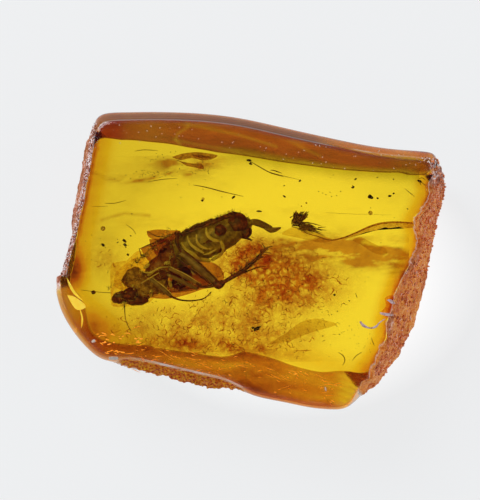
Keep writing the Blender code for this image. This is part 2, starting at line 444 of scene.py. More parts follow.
def wall_shape(tree, angles, heights):
    """Distance from the middle to the walls in scene.py, near those of the solid."""
    degrees = np.degrees(angles)
    radii = smooth_around(wall_radii(tree, angles, np.clip(heights, 0.002, RIM_HEIGHT - 0.002)), 2.6)

    # The rough sides' upper parts follow the jagged edges of the polished face.
    high = ease((heights - 1.6) / (RIM_HEIGHT - 1.6))[:, None] ** 0.8
    for path, ends in (
        (FLANK_EDGE, (FLANK[0] + 6.0, FLANK[1] - 2.0)), (SIDE_EDGE, (SIDE[0] + 3.0, SIDE[1] - 2.0)),
    ):
        edge = distance_out(path, angles)
        shift = np.where(np.isnan(edge), 0.0, edge - radii[-1])
        radii = radii + shift * high * window(degrees, ends, 4.0)

    # The leaning walls run straight down from their widest row to the line of their foot, or
    # stop short of it where their lean would be too steep to let the light through.
    for path, ends in (
        (HEAD_FOOT, (HEAD[0] + 1.0, HEAD[1])), (TAIL_FOOT, (CORNER[0] + 3.0, TAIL[1])),
    ):
        edge = distance_out(path, angles)
        known = ~np.isnan(edge)
        edge = np.where(known, edge, radii.max(axis=0))
        widest = smooth_around(radii.max(axis=0), 3.0)
        crest = smooth_around(heights[radii.argmax(axis=0)], 10.0)
        drop = np.clip(crest - heights[:, None], 0.0, None)
        lean = np.minimum(smooth_around(widest - edge, 4.0) / drop[0], MOST_LEAN) * drop
        blend = window(degrees, ends, 3.0) * known * (drop > 0.0)
        radii = radii + (widest - lean - radii) * blend
    low = ease(1.0 - heights / 3.2)[:, None]
    return radii + 0.35 * window(degrees, SIDE, 4.0) * low


def amber_grid():
    """Rows of points over the whole surface, from the middle of the foot to the middle of the face."""
    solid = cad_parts["amber"].data
    tree = BVHTree.FromPolygons([v.co for v in solid.vertices], [p.vertices for p in solid.polygons])
    angles = outline_directions(tree)
    # The rows lie closer together towards the foot and the rim.
    share = np.linspace(0.0, 1.0, WALL_ROWS + 1)
    heights = RIM_HEIGHT * (0.4 * (1 - np.cos(math.pi * share)) / 2 + 0.6 * share)
    radii = wall_shape(tree, angles, heights)

    def ring(reach, height):
        return np.stack([reach * np.cos(angles), reach * np.sin(angles), np.full(COLUMNS, height)], axis=1)

    rows = []
    for number in range(BASE_RINGS):
        out = 1.0 - (1.0 - (number + 1) / (BASE_RINGS + 1)) ** 1.3
        rows.append(ring(radii[0] * out, 0.0))
    rows += [ring(reach, height) for reach, height in zip(radii, heights)]
    for number in range(1, FACE_RINGS):
        out = 1.0 - (number / FACE_RINGS) ** 1.6
        rows.append(ring(radii[-1] * out, RIM_HEIGHT + FACE_CROWN * (1.0 - out * out)))
    grid = np.array(rows)
    grid[..., :2] += MIDDLE
    return grid, np.degrees(angles)


def soften_rims(grid, polished, reach=7.0, passes=14):
    """Round the polished edges by smoothing along each column within reach rows of the rim."""
    near_rim = np.exp(-(((np.arange(len(grid)) - RIM) / reach) ** 2))
    strength = (near_rim[:, None] * polished)[..., None]
    for _ in range(passes):
        middle = (np.roll(grid, 1, axis=0) + np.roll(grid, -1, axis=0)) / 2
        middle[0], middle[-1] = grid[0], grid[-1]
        grid = grid + (middle - grid) * strength
    return grid


def stain_and_shade_mask(grid, on_foot):
    """How dark the foot is, seen through the piece: partly stain, partly painted shade along the
    broken sides and in a patch at the lower left corner.
    """
    from_flank = distance_to(FLANK_EDGE, grid)
    from_side = distance_to(SIDE_EDGE, grid)
    # Painted shade: darker along the broken flank and the left side, whose walls hold back the light from
    # below.
    stain = 0.42 * ease(1.0 - from_flank / 1.3) + 0.45 * ease(1.0 - from_flank / 0.25)
    stain += 0.30 * ease(1.0 - from_side / 1.6) + 0.35 * ease(1.0 - from_side / 0.25)
    stain += 0.15 * near(TAIL_FOOT, grid, 1.6) + 0.05 + 0.06 * ease((-2.0 - grid[..., 0]) / 8.0)
    # Painted shade: a patch at the lower left corner, and more at the left side's lower end.
    stain += sum_of_spots(grid, [(0.6, (-11.1, -0.5), (0.8, 1.0)), (0.45, (-9.8, -4.2), (1.5, 1.1))])
    return on_foot * np.clip(stain, 0.0, 1.0)


def amber_masks(grid, degrees):
    """What each point of the surface is like, in the order of MASKS."""
    height = grid[..., 2]
    rows = np.arange(len(grid))[:, None]
    on_wall = ((rows >= BASE_RINGS) & (rows <= RIM)).astype(float)
    ragged = fractal(grid, 1.1, 3, 3.0)
    right = grid[..., 0] > 0.0

    # The broken sides bite a little way into the polished face.
    rough_side = np.maximum(window(degrees, FLANK, 1.5), window(degrees, SIDE, 2.0))
    from_rim = np.minimum(distance_to(FLANK_EDGE, grid), distance_to(SIDE_EDGE, grid))
    reach = np.where(right, np.maximum(0.16 + 0.26 * ragged, 0.09), 0.05 + 0.10 * ragged)
    broken = rough_side * np.maximum(on_wall, (rows > RIM) * ease((reach - from_rim) / 0.06))

    # The chipped facet is a crescent just under the lower edge.
    across = (degrees - sum(CHIP) / 2) / ((CHIP[1] - CHIP[0]) / 2)
    lowest = 4.3 + 2.6 * across**2 - 0.7 * ragged
    raw = window(degrees, CHIP, 2.5) * on_wall
    raw = raw * ease((7.66 - height) / 0.06) * ease((height - lowest) / 0.2)

    # The leaning walls carry a thin brown crust, and a stain that light still passes through.
    head = window(degrees, HEAD, 2.0) * on_wall
    under = window(degrees, (CORNER[0] + 6.0, TAIL[1]), 6.0) * on_wall
    crust = head * ease((7.5 - height) / 0.4)
    crust = np.maximum(crust, 0.5 * under * ease(6.5 - height) * (1.0 - raw))
    stain = np.maximum(stain_and_shade_mask(grid, rows < BASE_RINGS), np.maximum(0.3 * under, 0.4 * head))

    # Chalky bloom: all along the left side, at the right corner and in patches on the flank.
    patches = ease((fractal(grid, 1.6, 3, 8.0) - 0.05) / 0.3)
    near_face = ease((height - 6.0) / 1.5)
    on_flank = np.maximum(ease((grid[..., 1] - 3.6) / 1.5), 0.6 * patches * near_face)
    chalk = broken * np.where(right, on_flank, 0.8 + 0.2 * near_face * (0.5 + patches))

    # The polished edge carries a painted highlight, white above the chipped facet and cream at the
    # head's right end; it is dark and dull along the rest of the head.
    edge = ease((height - 7.68) / 0.06) * (rows <= RIM + 1)
    painted_rim_highlight = window(degrees, (CHIP[0] + 3.0, CHIP[1] - 1.0), 4.0) * edge
    painted_rim_highlight = np.maximum(painted_rim_highlight, 0.7 * window(degrees, (30.0, 48.0), 8.0) * edge * (rows <= RIM))
    painted_rim_highlight = painted_rim_highlight * (0.7 + 0.6 * ragged)
    dull = 0.8 * window(degrees, (66.0, 134.0), 14.0) * ease((height - 7.3) / 0.2) * (rows <= RIM + 1)
    return broken, crust, raw, stain, chalk, painted_rim_highlight, dull


def roughen(grid, broken, raw):
    """Lumps on the broken walls, pushed in and out from the middle, and pits in the face's edge."""
    out = grid - np.array((*MIDDLE, 0.0))
    out[..., 2] = 0.0
    out /= np.maximum(np.linalg.norm(out, axis=-1, keepdims=True), 0.001)
    lumps = 0.11 * fractal(grid, 1.1, 3, 1.0) + (0.08 + 0.14 * raw) * fractal(grid, 0.34, 4, 2.0)
    rows = np.arange(len(grid))[:, None]
    hold = ease((rows - BASE_RINGS) / 3.0) * ease((RIM + 4 - rows) / 4.0)
    moved = grid + out * (lumps * np.maximum(broken, raw) * hold)[..., None]
    pits = ease((broken - 0.7) / 0.3) * 0.07 * fractal(grid, 0.4, 3, 5.0) * (rows > RIM)
    moved[..., 2] -= np.clip(pits, 0.0, None)
    return moved


def normals_of(grid):
    """Outward unit normals of the surface at its points."""
    around = np.roll(grid, -1, axis=1) - np.roll(grid, 1, axis=1)
    normals = np.cross(around, np.gradient(grid, axis=0))
    return normals / np.maximum(np.linalg.norm(normals, axis=-1, keepdims=True), 1e-9)


def make_rind(name, grid, degrees, ends, mask, material):
    """The dark skin that the resin shows along a leaning wall, just inside it."""
    around = (degrees - ends[0]) % 360.0
    columns = sorted(np.flatnonzero(around < ends[1] - ends[0]), key=lambda column: around[column])
    part = (grid - 0.05 * normals_of(grid))[BASE_RINGS:RIM + RIND_OVERLAP + 1][:, columns]
    part[..., 2] = np.maximum(part[..., 2], 0.03)
    width = len(columns)
    faces = [
        (start + c, start + c + 1, start + width + c + 1, start + width + c)
        for start in range(0, width * (WALL_ROWS + RIND_OVERLAP), width)
        for c in range(width - 1)
    ]
    mesh = new_mesh(name, part.reshape(-1, 3).tolist(), faces)
    fade = ease((WALL_ROWS + RIND_OVERLAP - np.arange(len(part))) / 5.0)[:, None]
    set_mask(mesh, "haze", mask(part) * fade)
    mesh.shade_smooth()
    add_object(name, mesh, material)


def head_band(part):
    """The head's skin: lighter in a curved swirl and along a few lines."""
    x, height = part[..., 0], part[..., 2]
    strength = 0.90 - 0.12 * spot(part, (-6.2, 7.7), (1.3, 3.0)) + 0.10 * ease((-7.6 - x) / 0.8)
    strength = strength - 0.10 * ease((x - 8.0) / 1.5)
    # Its lower edge melts into olive towards the right.
    strength = strength * (1.0 - 0.55 * ease(1.0 - height / 1.8) * ease((x + 3.0) / 3.0))
    for line, depth in HEAD_LINES:
        strength = strength - depth * near(line, part, 0.11)
    return strength


def tail_band(part):
    """The tail's skin: clearer at the corner and at its finely lined olive right end."""
    x, y = part[..., 0], part[..., 1]
    lines = 0.82 + 0.18 * np.sin(18.0 * (y + 0.35 * x))
    olive = ease((x - 4.6) / 1.2) * ease((-6.6 - y) / 0.3)
    clear = np.maximum(0.75 * olive * lines, 0.3 * ease((-9.6 - x) / 0.8))
    # A lighter stripe runs along the middle of the tail.
    stripe = np.exp(-((distance_to(TAIL_FOOT, part) - 1.1) / 0.35) ** 2)
    stripe = stripe * (0.6 + 0.6 * fractal(part * np.array((0.5, 2.0, 1.0)), 1.2, 3, 31.0))
    return 1.0 - np.clip(np.maximum(clear, 0.4 * stripe), 0.0, 1.0)


def make_rinds(grid, degrees):
    head_tints = [(0.28, 0.045, 0.22), (0.48, 0.088, 0.40), (0.62, 0.130, 0.55), (0.88, 0.28, 0.75)]
    head = rind_material("head_rind", head_tints, -8.0, 0.9, 0.25)
    make_rind("head_rind", grid, degrees, (HEAD[0] - 6.0, HEAD[1] + 5.0), head_band, head)
    tail_tints = [(0.55, 0.17, 0.15), (0.80, 0.34, 0.3), (0.95, 0.50, 0.4), (1.0, 0.80, 0.5)]
    tail = rind_material("tail_rind", tail_tints, -10.0, 0.85, 0.5)
    make_rind("tail_rind", grid, degrees, (CORNER[0], TAIL[1] + 6.0), tail_band, tail)


def make_amber():
    """The lump of resin with its brown skins; gives its surface for placing things on it."""
    grid, degrees = amber_grid()
    polished = np.maximum(window(degrees, HEAD, 1.0), 0.3 * window(degrees, (CORNER[0], TAIL[1]), 1.0))
    grid = soften_rims(grid, polished)
    masks = dict(zip(MASKS, amber_masks(grid, degrees)))
    grid = roughen(grid, masks["broken"], masks["raw"])

    points = [(*MIDDLE, 0.0), *map(tuple, grid.reshape(-1, 3)), (*MIDDLE, THICKNESS)]
    # The rows run inwards over the face, so the faces are turned to look outwards.
    faces = [(face[0], *face[:0:-1]) for face in skin_faces(COLUMNS, len(grid))]
    mesh = new_mesh("amber_body", points, faces)
    for name, values in masks.items():
        set_mask(mesh, name, np.concatenate([[0.0], values.ravel(), [0.0]]))
    mesh.shade_smooth()
    foot = range(1 + BASE_RINGS * COLUMNS, 1 + (BASE_RINGS + 1) * COLUMNS)
    for edge in mesh.edges:
        edge.use_edge_sharp = all(vertex in foot for vertex in edge.vertices)
    piece = add_object("amber_body", mesh, amber_material())
    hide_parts("amber")
    make_rinds(grid, degrees)
    return BVHTree.FromPolygons(points, faces)


# ---------------------------------------------------------------- shapes for what is sealed in

def smooth_path(points, steps):
    """Points along a smooth curve through the given ones."""
    path = [Vector(point) for point in points]
    last = len(path) - 1
    found = []
    for index in range(last):
        before, start, end, after = (path[min(max(index + k, 0), last)] for k in (-1, 0, 1, 2))
        for step in range(steps):
            t = step / steps
            found.append(
                start * (2 * t**3 - 3 * t**2 + 1) + (end - before) / 2 * (t**3 - 2 * t**2 + t)
                + end * (3 * t**2 - 2 * t**3) + (after - start) / 2 * (t**3 - t**2)
            )
    found.append(path[-1])
    return found


def tube(path, radii, sides=8, steps=4, flat=1.0):
    """A closed tapering tube along a smooth path; flat is its height over its width."""
    centres = smooth_path(path, steps)
    last = len(centres) - 1
    sizes = np.interp(np.linspace(0, 1, last + 1), np.linspace(0, 1, len(radii)), radii)
    points = [centres[0]]
    for index, centre in enumerate(centres):
        ahead = (centres[min(index + 1, last)] - centres[max(index - 1, 0)]).normalized()
        across = ahead.cross(Vector((0.0, 0.0, 1.0)) if abs(ahead.z) < 0.9 else Vector((1.0, 0.0, 0.0)))
        across.normalize()
        up = across.cross(ahead)
        for side in range(sides):
            turn = 2 * math.pi * side / sides
            out = across * math.cos(turn) + up * (math.sin(turn) * flat)
            points.append(centre + out * float(sizes[index]))
    points.append(centres[-1])
    return points, skin_faces(sides, last + 1)


def blob(centre, size, turn=0.0, lumps=0.0, sides=16, rings=10):
    """A lumpy ellipsoid; size is its three half lengths, turn its heading in degrees."""
    rotate = Matrix.Rotation(math.radians(turn), 3, "Z")
    points = []
    for ring in range(rings + 1):
        polar = math.pi * ring / rings
        for side in range(sides if 0 < ring < rings else 1):
            around = 2 * math.pi * side / sides
            out = outward(around) * math.sin(polar)
            out.z = math.cos(polar)
            swell = 1.0 + lumps * noise.noise(out * 2.0 + Vector(centre) * 3.0)
            points.append(rotate @ (out * Vector(size) * swell) + Vector(centre))
    return points, skin_faces(sides, rings - 1)


def flake(outline, height, thickness=0.0, curl=0.0, steps=3, slope=(0.0, 0.0)):
    """A thin sheet with a smooth outline, optionally thick, curled up at its rim or tilted."""
    ring = smooth_path([(*point, 0.0) for point in (*outline, outline[0])], steps)[:-1]
    centre = sum(ring, Vector()) / len(ring)
    points = [centre]
    shares = (0.35, 0.7, 1.0)
    for share in shares:
        for point in ring:
            points.append(centre + (point - centre) * share)
    for point in points:
        away = point - centre
        point.z = height + curl * away.length_squared + slope[0] * away.x + slope[1] * away.y
    count = len(ring)
    faces = [(0, 1 + side, 1 + (side + 1) % count) for side in range(count)]
    for band in range(len(shares) - 1):
        low = 1 + band * count
        for side in range(count):
            after = (side + 1) % count
            faces.append((low + side, low + count + side, low + count + after, low + after))
    if not thickness:
        return points, faces
    lower = [point - Vector((0.0, 0.0, thickness)) for point in points]
    shift = len(points)
    faces += [tuple(shift + i for i in reversed(face)) for face in faces]
    outer = shift - count
    for side in range(count):
        after = (side + 1) % count
        faces.append((outer + side, shift + outer + side, shift + outer + after, outer + after))
    return points + lower, faces


def make_piece(name, parts, material, smooth=True):
    """One object from several shapes."""
    points = []
    faces = []
    for part_points, part_faces in parts:
        shift = len(points)
        points += part_points
        faces += [tuple(shift + index for index in face) for face in part_faces]
    mesh = new_mesh(name, points, faces)
    if smooth:
        mesh.shade_smooth()
    return add_object(name, mesh, material)


def hairs(root_path, count, length, heading, spread, radius, seed):
    """Short bristles standing along a path, headed one way with some spread in degrees."""
    pick = random.Random(seed)
    roots = smooth_path(root_path, 12)
    parts = []
    for _ in range(count):
        root = pick.choice(roots) + Vector([pick.uniform(-0.05, 0.05) for _ in range(3)])
        angle = math.radians(heading + pick.uniform(-spread, spread))
        reach = length * pick.uniform(0.5, 1.2)
        way = Vector((math.cos(angle), math.sin(angle), pick.uniform(-0.2, 0.5)))
        bend = Vector((pick.uniform(-0.15, 0.15), pick.uniform(-0.15, 0.15), 0.0)) * reach
        path = [root, root + way * reach * 0.5 + bend, root + way * reach]
        parts.append(tube(path, (radius, radius * 0.3), sides=4, steps=2))
    return parts


# ---------------------------------------------------------------- the insect

BODY_HEIGHT = 4.7  # of the insect's middle above the resting face
ABDOMEN = [(-4.95, 0.0), (-4.0, 0.7), (-3.1, 1.15), (-2.1, 1.55), (-1.2, 1.95), (-0.4, 2.2), (0.0, 2.2)]
ABDOMEN_RADII = (0.70, 1.06, 1.16, 1.10, 0.92, 0.50, 0.12)
SHIN = [(-1.3, -1.05, 5.9), (-0.55, -0.6, 5.8), (0.25, 0.1, 5.7), (0.8, 0.68, 5.6)]


def make_abdomen(dark, green, pale):
    """The ringed abdomen, with pale ribs, dark marks and bristles on its back."""
    sides, plates = 36, 8
    path = [(x, y, BODY_HEIGHT) for x, y in ABDOMEN]
    points, faces = tube(path, ABDOMEN_RADII, sides, steps=10, flat=0.72)
    # Each ring plate swells towards its rear edge and overlaps the next.
    rings = (len(points) - 2) // sides
    for ring in range(rings):
        phase = (ring / rings * plates) % 1.0
        first = 1 + ring * sides
        centre = sum(points[first:first + sides], Vector()) / sides
        for index in range(first, first + sides):
            points[index] = centre + (points[index] - centre) * (0.955 + 0.07 * phase**2)
    make_piece("abdomen", [(points, faces)], green)
    tree = BVHTree.FromPolygons(points, faces)

    def laid(path, radii):
        """A ridge laid on the abdomen's upper surface."""
        on_top = []
        for x, y in path:
            hit = tree.ray_cast(Vector((x, y, 9.0)), DOWN)[0]
            on_top.append((x, y, hit.z if hit else BODY_HEIGHT + 0.2))
        return tube(on_top, radii, steps=5, flat=0.6)

    ridges = [
        laid([(-4.35, 1.1), (-4.05, 0.65), (-3.6, 0.35), (-3.05, 0.1), (-2.55, -0.05)],
             (0.06, 0.12, 0.17, 0.16, 0.08)),
        laid([(-1.95, 1.2), (-1.8, 0.85), (-1.95, 0.4), (-2.5, 0.0)], (0.07, 0.12, 0.14, 0.09)),
        laid([(-3.95, 1.5), (-3.8, 1.05), (-3.4, 0.7), (-2.95, 0.45)], (0.04, 0.08, 0.10, 0.05)),
        laid([(-3.4, 1.6), (-3.35, 1.1), (-3.0, 0.8), (-2.5, 0.7)], (0.04, 0.08, 0.09, 0.05)),
        laid([(-2.8, 2.0), (-2.75, 1.6), (-2.45, 1.3), (-2.0, 1.2)], (0.05, 0.10, 0.11, 0.07)),
        laid([(-3.0, 0.35), (-2.6, 0.45), (-2.2, 0.7)], (0.03, 0.07, 0.04)),
    ]
    make_piece("abdomen_rings", ridges, pale)
    dark_marks = [
        blob((-1.95, 1.85, 5.40), (0.38, 0.36, 0.26), lumps=0.2),
        laid([(-1.85, 0.85), (-1.95, 0.6), (-2.1, 0.4)], (0.03, 0.09, 0.04)),
        laid([(-3.0, 1.0), (-2.7, 1.15), (-2.45, 1.2)], (0.03, 0.09, 0.05)),
        tube([(-4.7, 1.35, 5.1), (-3.7, 1.8, 5.2), (-2.8, 2.15, 5.2), (-1.85, 2.55, 5.1), (-1.1, 2.8, 4.9),
              (-0.5, 2.6, 4.8)], (0.06, 0.10, 0.12, 0.16, 0.18, 0.12), sides=10, steps=5),
        blob((-0.95, 2.25, 4.9), (0.72, 0.60, 0.50), turn=25, lumps=0.25, sides=20, rings=12),
        blob((-0.45, 1.75, 4.8), (0.42, 0.42, 0.35), turn=-40, lumps=0.3),
        tube([(-0.7, 1.5, 4.8), (-0.3, 1.35, 4.8), (0.0, 1.2, 4.8)], (0.16, 0.08, 0.02)),
    ]
    make_piece("abdomen_back", dark_marks, dark)
    back = [(-4.6, 1.5, 5.1), (-3.7, 1.9, 5.2), (-2.8, 2.25, 5.2), (-1.85, 2.65, 5.1), (-1.1, 2.9, 5.0)]
    end = [(-1.1, 2.9, 5.0), (-0.4, 2.7, 4.9), (-0.05, 2.2, 4.9)]
    bristles = hairs(back, 230, 0.24, 125, 40, 0.012, 11) + hairs(end, 24, 0.16, 60, 40, 0.012, 12)
    make_piece("abdomen_bristles", bristles, dark)


def make_front(dark, brown, olive, pale):
    """Head, thorax and the plates between them."""
    lumps = [
        blob((-8.05, -2.25, 4.9), (0.50, 0.40, 0.42), turn=15, lumps=0.35),
        blob((-7.45, -2.1, 5.0), (0.50, 0.42, 0.45), turn=35, lumps=0.35),
        blob((-7.05, -2.45, 4.8), (0.75, 0.30, 0.35), turn=3, lumps=0.3),
        blob((-8.35, -2.35, 4.7), (0.26, 0.26, 0.26)),
    ]
    make_piece("head", lumps, dark)
    make_piece(
        "thorax",
        [
            blob((-6.7, -1.65, 4.6), (0.80, 0.80, 0.55), turn=20, lumps=0.3, sides=20, rings=12),
            blob((-5.9, -1.5, 4.5), (0.85, 0.55, 0.55), turn=10, lumps=0.3),
            blob((-7.2, -1.1, 4.4), (0.70, 0.60, 0.40), turn=30, lumps=0.3),
        ],
        olive,
    )
    make_piece(
        "thorax_rear",
        [
            blob((-5.6, -0.5, 4.6), (1.05, 0.75, 0.60), turn=35, lumps=0.3, sides=20, rings=12),
            blob((-4.9, 0.2, 4.7), (0.75, 0.85, 0.60), turn=30, lumps=0.25, sides=20, rings=12),
            blob((-4.4, -0.75, 4.5), (0.75, 0.50, 0.45), turn=-20, lumps=0.3),
            blob((-4.55, -1.45, 4.4), (0.50, 0.32, 0.30), turn=-10, lumps=0.2),
        ],
        brown,
    )
    spots = [
        blob((-7.85, -2.62, 5.25), (0.13, 0.13, 0.08)),
        blob((-5.0, -1.45, 5.15), (0.11, 0.26, 0.10), turn=12),
        blob((-6.2, -2.0, 5.2), (0.12, 0.26, 0.10), turn=-8),
        blob((-3.6, -0.65, 5.2), (0.15, 0.25, 0.10), turn=20),
        blob((-5.2, -0.15, 5.4), (0.22, 0.12, 0.08), turn=20),
        blob((-6.45, -0.35, 5.3), (0.24, 0.12, 0.08), turn=40),
        blob((-6.15, -0.75, 5.35), (0.30, 0.10, 0.08), turn=35),
        blob((-7.3, -1.55, 5.4), (0.10, 0.06, 0.05), turn=60),
    ]
    make_piece("pale_joints", spots, pale)


def leg(path, radii, **options):
    return tube(path, radii, sides=10, steps=5, **options)


def make_legs(dark, grey, pale):
    """Thighs, shins with their feet and spines, and pale edges along some thighs."""
    thighs = [
        leg([(-4.45, 0.55, 5.5), (-3.3, -0.40, 5.7), (-2.2, -1.35, 5.8)], (0.20, 0.30, 0.20), flat=0.6),
        leg([(-5.1, -0.45, 5.7), (-4.1, -0.95, 5.9), (-3.1, -1.55, 5.8)], (0.11, 0.16, 0.10), flat=0.6),
        leg([(-5.2, -0.85, 5.6), (-4.2, -1.32, 5.7), (-3.35, -1.75, 5.6)], (0.10, 0.14, 0.09), flat=0.6),
        leg([(-6.2, -1.15, 5.7), (-5.5, -1.70, 5.8), (-4.95, -2.2, 5.7)], (0.12, 0.15, 0.10), flat=0.6),
    ]
    make_piece("thighs", thighs, grey)
    edges = [
        leg([(-4.2, 0.65, 5.75), (-3.1, -0.25, 5.9), (-2.1, -1.25, 5.95)], (0.03, 0.05, 0.03)),
        leg([(-4.75, 0.25, 5.7), (-3.6, -0.65, 5.85), (-2.45, -1.5, 5.9)], (0.03, 0.06, 0.04)),
        leg([(-3.4, -1.35, 5.9), (-3.1, -1.6, 5.85), (-2.55, -1.62, 5.8), (-1.85, -1.5, 5.8)],
            (0.09, 0.08, 0.05, 0.04)),
        leg([(-2.35, -1.3, 5.9), (-2.05, -1.5, 5.9), (-1.75, -1.3, 5.9)], (0.20, 0.26, 0.16)),
        leg([(-5.0, -1.9, 5.5), (-4.15, -1.78, 5.5), (-3.3, -1.6, 5.5), (-2.35, -1.5, 5.5)],
            (0.03, 0.05, 0.04, 0.03)),
        leg([(-4.95, -2.2, 5.8), (-4.4, -2.4, 5.8), (-3.7, -2.45, 5.7), (-2.95, -2.3, 5.6),
             (-2.5, -1.9, 5.5)], (0.08, 0.05, 0.045, 0.035, 0.03)),
        leg([(-2.0, -1.45, 5.9), *SHIN], (0.12, 0.13, 0.13, 0.11, 0.06)),
        leg([(-1.1, -0.95, 5.7), (-0.3, -0.65, 5.6), (0.35, -0.42, 5.5), (0.85, -0.35, 5.4)],
            (0.07, 0.05, 0.035, 0.02)),
        leg([(0.75, 0.62, 5.6), (0.95, 0.8, 5.6), (1.25, 0.85, 5.6)], (0.06, 0.04, 0.02)),
        leg([(0.75, 0.62, 5.6), (0.72, 0.85, 5.6), (0.58, 1.05, 5.6)], (0.05, 0.03, 0.015)),
        leg([(0.6, 0.5, 5.6), (0.9, 0.5, 5.6), (1.2, 0.42, 5.6)], (0.04, 0.03, 0.015)),
    ]
    edges += hairs(SHIN, 34, 0.36, 95, 25, 0.032, 21) + hairs(SHIN, 30, 0.32, -5, 25, 0.03, 22)
    make_piece("shins_and_feet", edges, dark)
    rims = [
        leg([(-5.1, -0.35, 5.85), (-4.1, -0.82, 6.0), (-3.15, -1.4, 5.95)], (0.02, 0.035, 0.02)),
        leg([(-6.1, -1.05, 5.85), (-5.4, -1.58, 5.95), (-4.9, -2.05, 5.85)], (0.02, 0.035, 0.02)),
        leg([(-6.9, -0.6, 5.5), (-6.3, -0.75, 5.6), (-5.6, -0.45, 5.6), (-5.1, -0.4, 5.7)],
            (0.03, 0.05, 0.06, 0.03)),
        leg([(-6.8, -1.4, 5.4), (-6.3, -1.1, 5.6), (-5.7, -0.75, 5.6)], (0.03, 0.05, 0.03)),
    ]
    make_piece("thigh_edges", rims, pale)


def make_wings(wing, hood, dark):
    """The wings with their veins, and the clear shield over the neck."""
    sheets = [
        flake([(-6.45, 1.8), (-5.8, 1.9), (-5.05, 1.85), (-4.4, 1.8), (-4.6, 1.3), (-5.3, 1.05),
               (-5.85, 1.2), (-6.35, 1.45)], 5.3, curl=-0.05),
        flake([(-6.85, 0.75), (-6.2, 1.05), (-5.3, 1.45), (-4.45, 1.8), (-4.1, 1.0), (-4.2, 0.2),
               (-4.8, -0.45), (-5.7, -0.6), (-6.3, -0.1), (-6.6, 0.35)], 5.45, curl=-0.04),
        flake([(-6.3, 1.3), (-5.2, 1.3), (-4.4, 0.9), (-4.5, 0.1), (-5.4, 0.0), (-6.1, 0.6)],
              5.6, curl=-0.05),
        # The far wing lies crumpled between the body and the legs.
        flake([(-6.6, -2.2), (-5.4, -2.35), (-4.2, -2.15), (-3.0, -1.75), (-2.1, -1.55), (-1.7, -1.0),
               (-2.1, -0.3), (-3.2, 0.1), (-4.6, 0.3), (-5.6, -0.8)], 4.1, curl=0.03),
        flake([(-5.2, -2.0), (-4.0, -1.9), (-2.9, -1.6), (-2.3, -1.1), (-3.0, -0.5), (-4.2, -0.4),
               (-5.0, -1.0)], 4.3, curl=0.04),
    ]
    make_piece("wings", sheets, wing)
    shield = [
        flake([(-7.65, 0.0), (-6.95, 0.6), (-6.3, 0.2), (-5.8, -0.7), (-5.85, -1.85), (-6.3, -2.6),
               (-7.4, -2.8), (-8.5, -2.8), (-8.65, -2.2), (-8.65, -0.35), (-8.2, -0.1)], 4.2, curl=0.02),
        flake([(-7.3, 0.1), (-6.6, 0.2), (-6.2, -0.6), (-6.4, -1.5), (-7.4, -1.9), (-8.4, -1.6),
               (-8.3, -0.7)], 4.0, curl=0.03),
    ]
    make_piece("pronotum", shield, hood)
    veins = [
        tube([(-6.85, 0.72, 5.5), (-6.2, 1.0, 5.5), (-5.3, 1.4, 5.5), (-4.5, 1.75, 5.5)],
             (0.02, 0.04, 0.045, 0.03)),
        tube([(-6.4, 1.75, 5.4), (-5.7, 1.45, 5.5), (-5.0, 1.6, 5.5)], (0.02, 0.03, 0.02)),
        tube([(-6.35, 0.6, 5.5), (-5.7, 1.0, 5.6), (-5.0, 1.2, 5.6)], (0.015, 0.03, 0.02)),
        tube([(-6.9, 0.75, 5.4), (-6.75, 0.3, 5.4), (-6.35, 0.2, 5.4)], (0.02, 0.035, 0.02)),
        tube([(-4.55, 1.7, 5.6), (-4.6, 1.1, 5.7), (-4.35, 0.5, 5.7)], (0.09, 0.12, 0.05)),
        tube([(-4.9, 1.0, 5.7), (-4.75, 0.2, 5.7), (-4.9, -0.5, 5.6)], (0.03, 0.06, 0.02)),
    ]
    make_piece("wing_veins", veins, dark)


def make_feelers(dark, brown):
    """The feelers at the head, and the flap at the tail."""
    lines = [
        tube([(-7.8, -2.75, 5.1), (-7.75, -3.5, 5.2), (-7.6, -3.95, 5.2), (-7.4, -4.3, 5.2)],
             (0.035, 0.022, 0.02, 0.02)),
        tube([(-8.6, -1.98, 4.9), (-9.5, -1.92, 4.9), (-10.45, -1.8, 4.9)], (0.02, 0.016, 0.012)),
        blob((-9.7, -1.95, 4.9), (0.13, 0.11, 0.08), lumps=0.5),
    ]
    make_piece("feelers", lines, dark)
    tail = [
        tube([(-0.1, 2.35, 4.9), (0.3, 2.3, 4.9), (0.8, 2.1, 4.9), (1.2, 1.95, 4.9)],
             (0.16, 0.22, 0.20, 0.12), flat=0.6),
        tube([(0.75, 2.0, 5.0), (1.15, 1.85, 5.0), (1.5, 1.9, 5.0), (1.75, 2.0, 5.0)],
             (0.10, 0.18, 0.12, 0.04), flat=0.7),
    ]
    make_piece("tail_appendage", tail, brown)


def make_bristles(dark, golden):
    """Short hairs scattered over the thorax, the head and the upper wings."""
    along = [(-8.4, -2.2, 5.3), (-7.3, -1.6, 5.4), (-6.2, -0.9, 5.5), (-5.2, -0.2, 5.6), (-4.5, 0.8, 5.7)]
    low = [(-7.6, -2.5, 5.3), (-6.3, -2.2, 5.4), (-5.0, -1.9, 5.5), (-3.8, -1.3, 5.7)]
    high = [(-7.2, -0.4, 5.2), (-6.5, 0.4, 5.5), (-5.6, 1.1, 5.6), (-4.7, 1.6, 5.6)]
    dark_hairs, golden_hairs = [], []
    pick = random.Random(41)
    for path, width in ((along, 0.55), (low, 0.35), (high, 0.35)):
        for number in range(5):
            shifted = [
                (x + pick.uniform(-width, width), y + pick.uniform(-width, width), z) for x, y, z in path
            ]
            dark_hairs += hairs(shifted, 16, 0.26, 150, 90, 0.016, 50 + number)
            golden_hairs += hairs(shifted, 16, 0.24, 60, 90, 0.014, 60 + number)
    make_piece("dark_bristles", dark_hairs, dark)
    make_piece("golden_bristles", golden_hairs, golden)


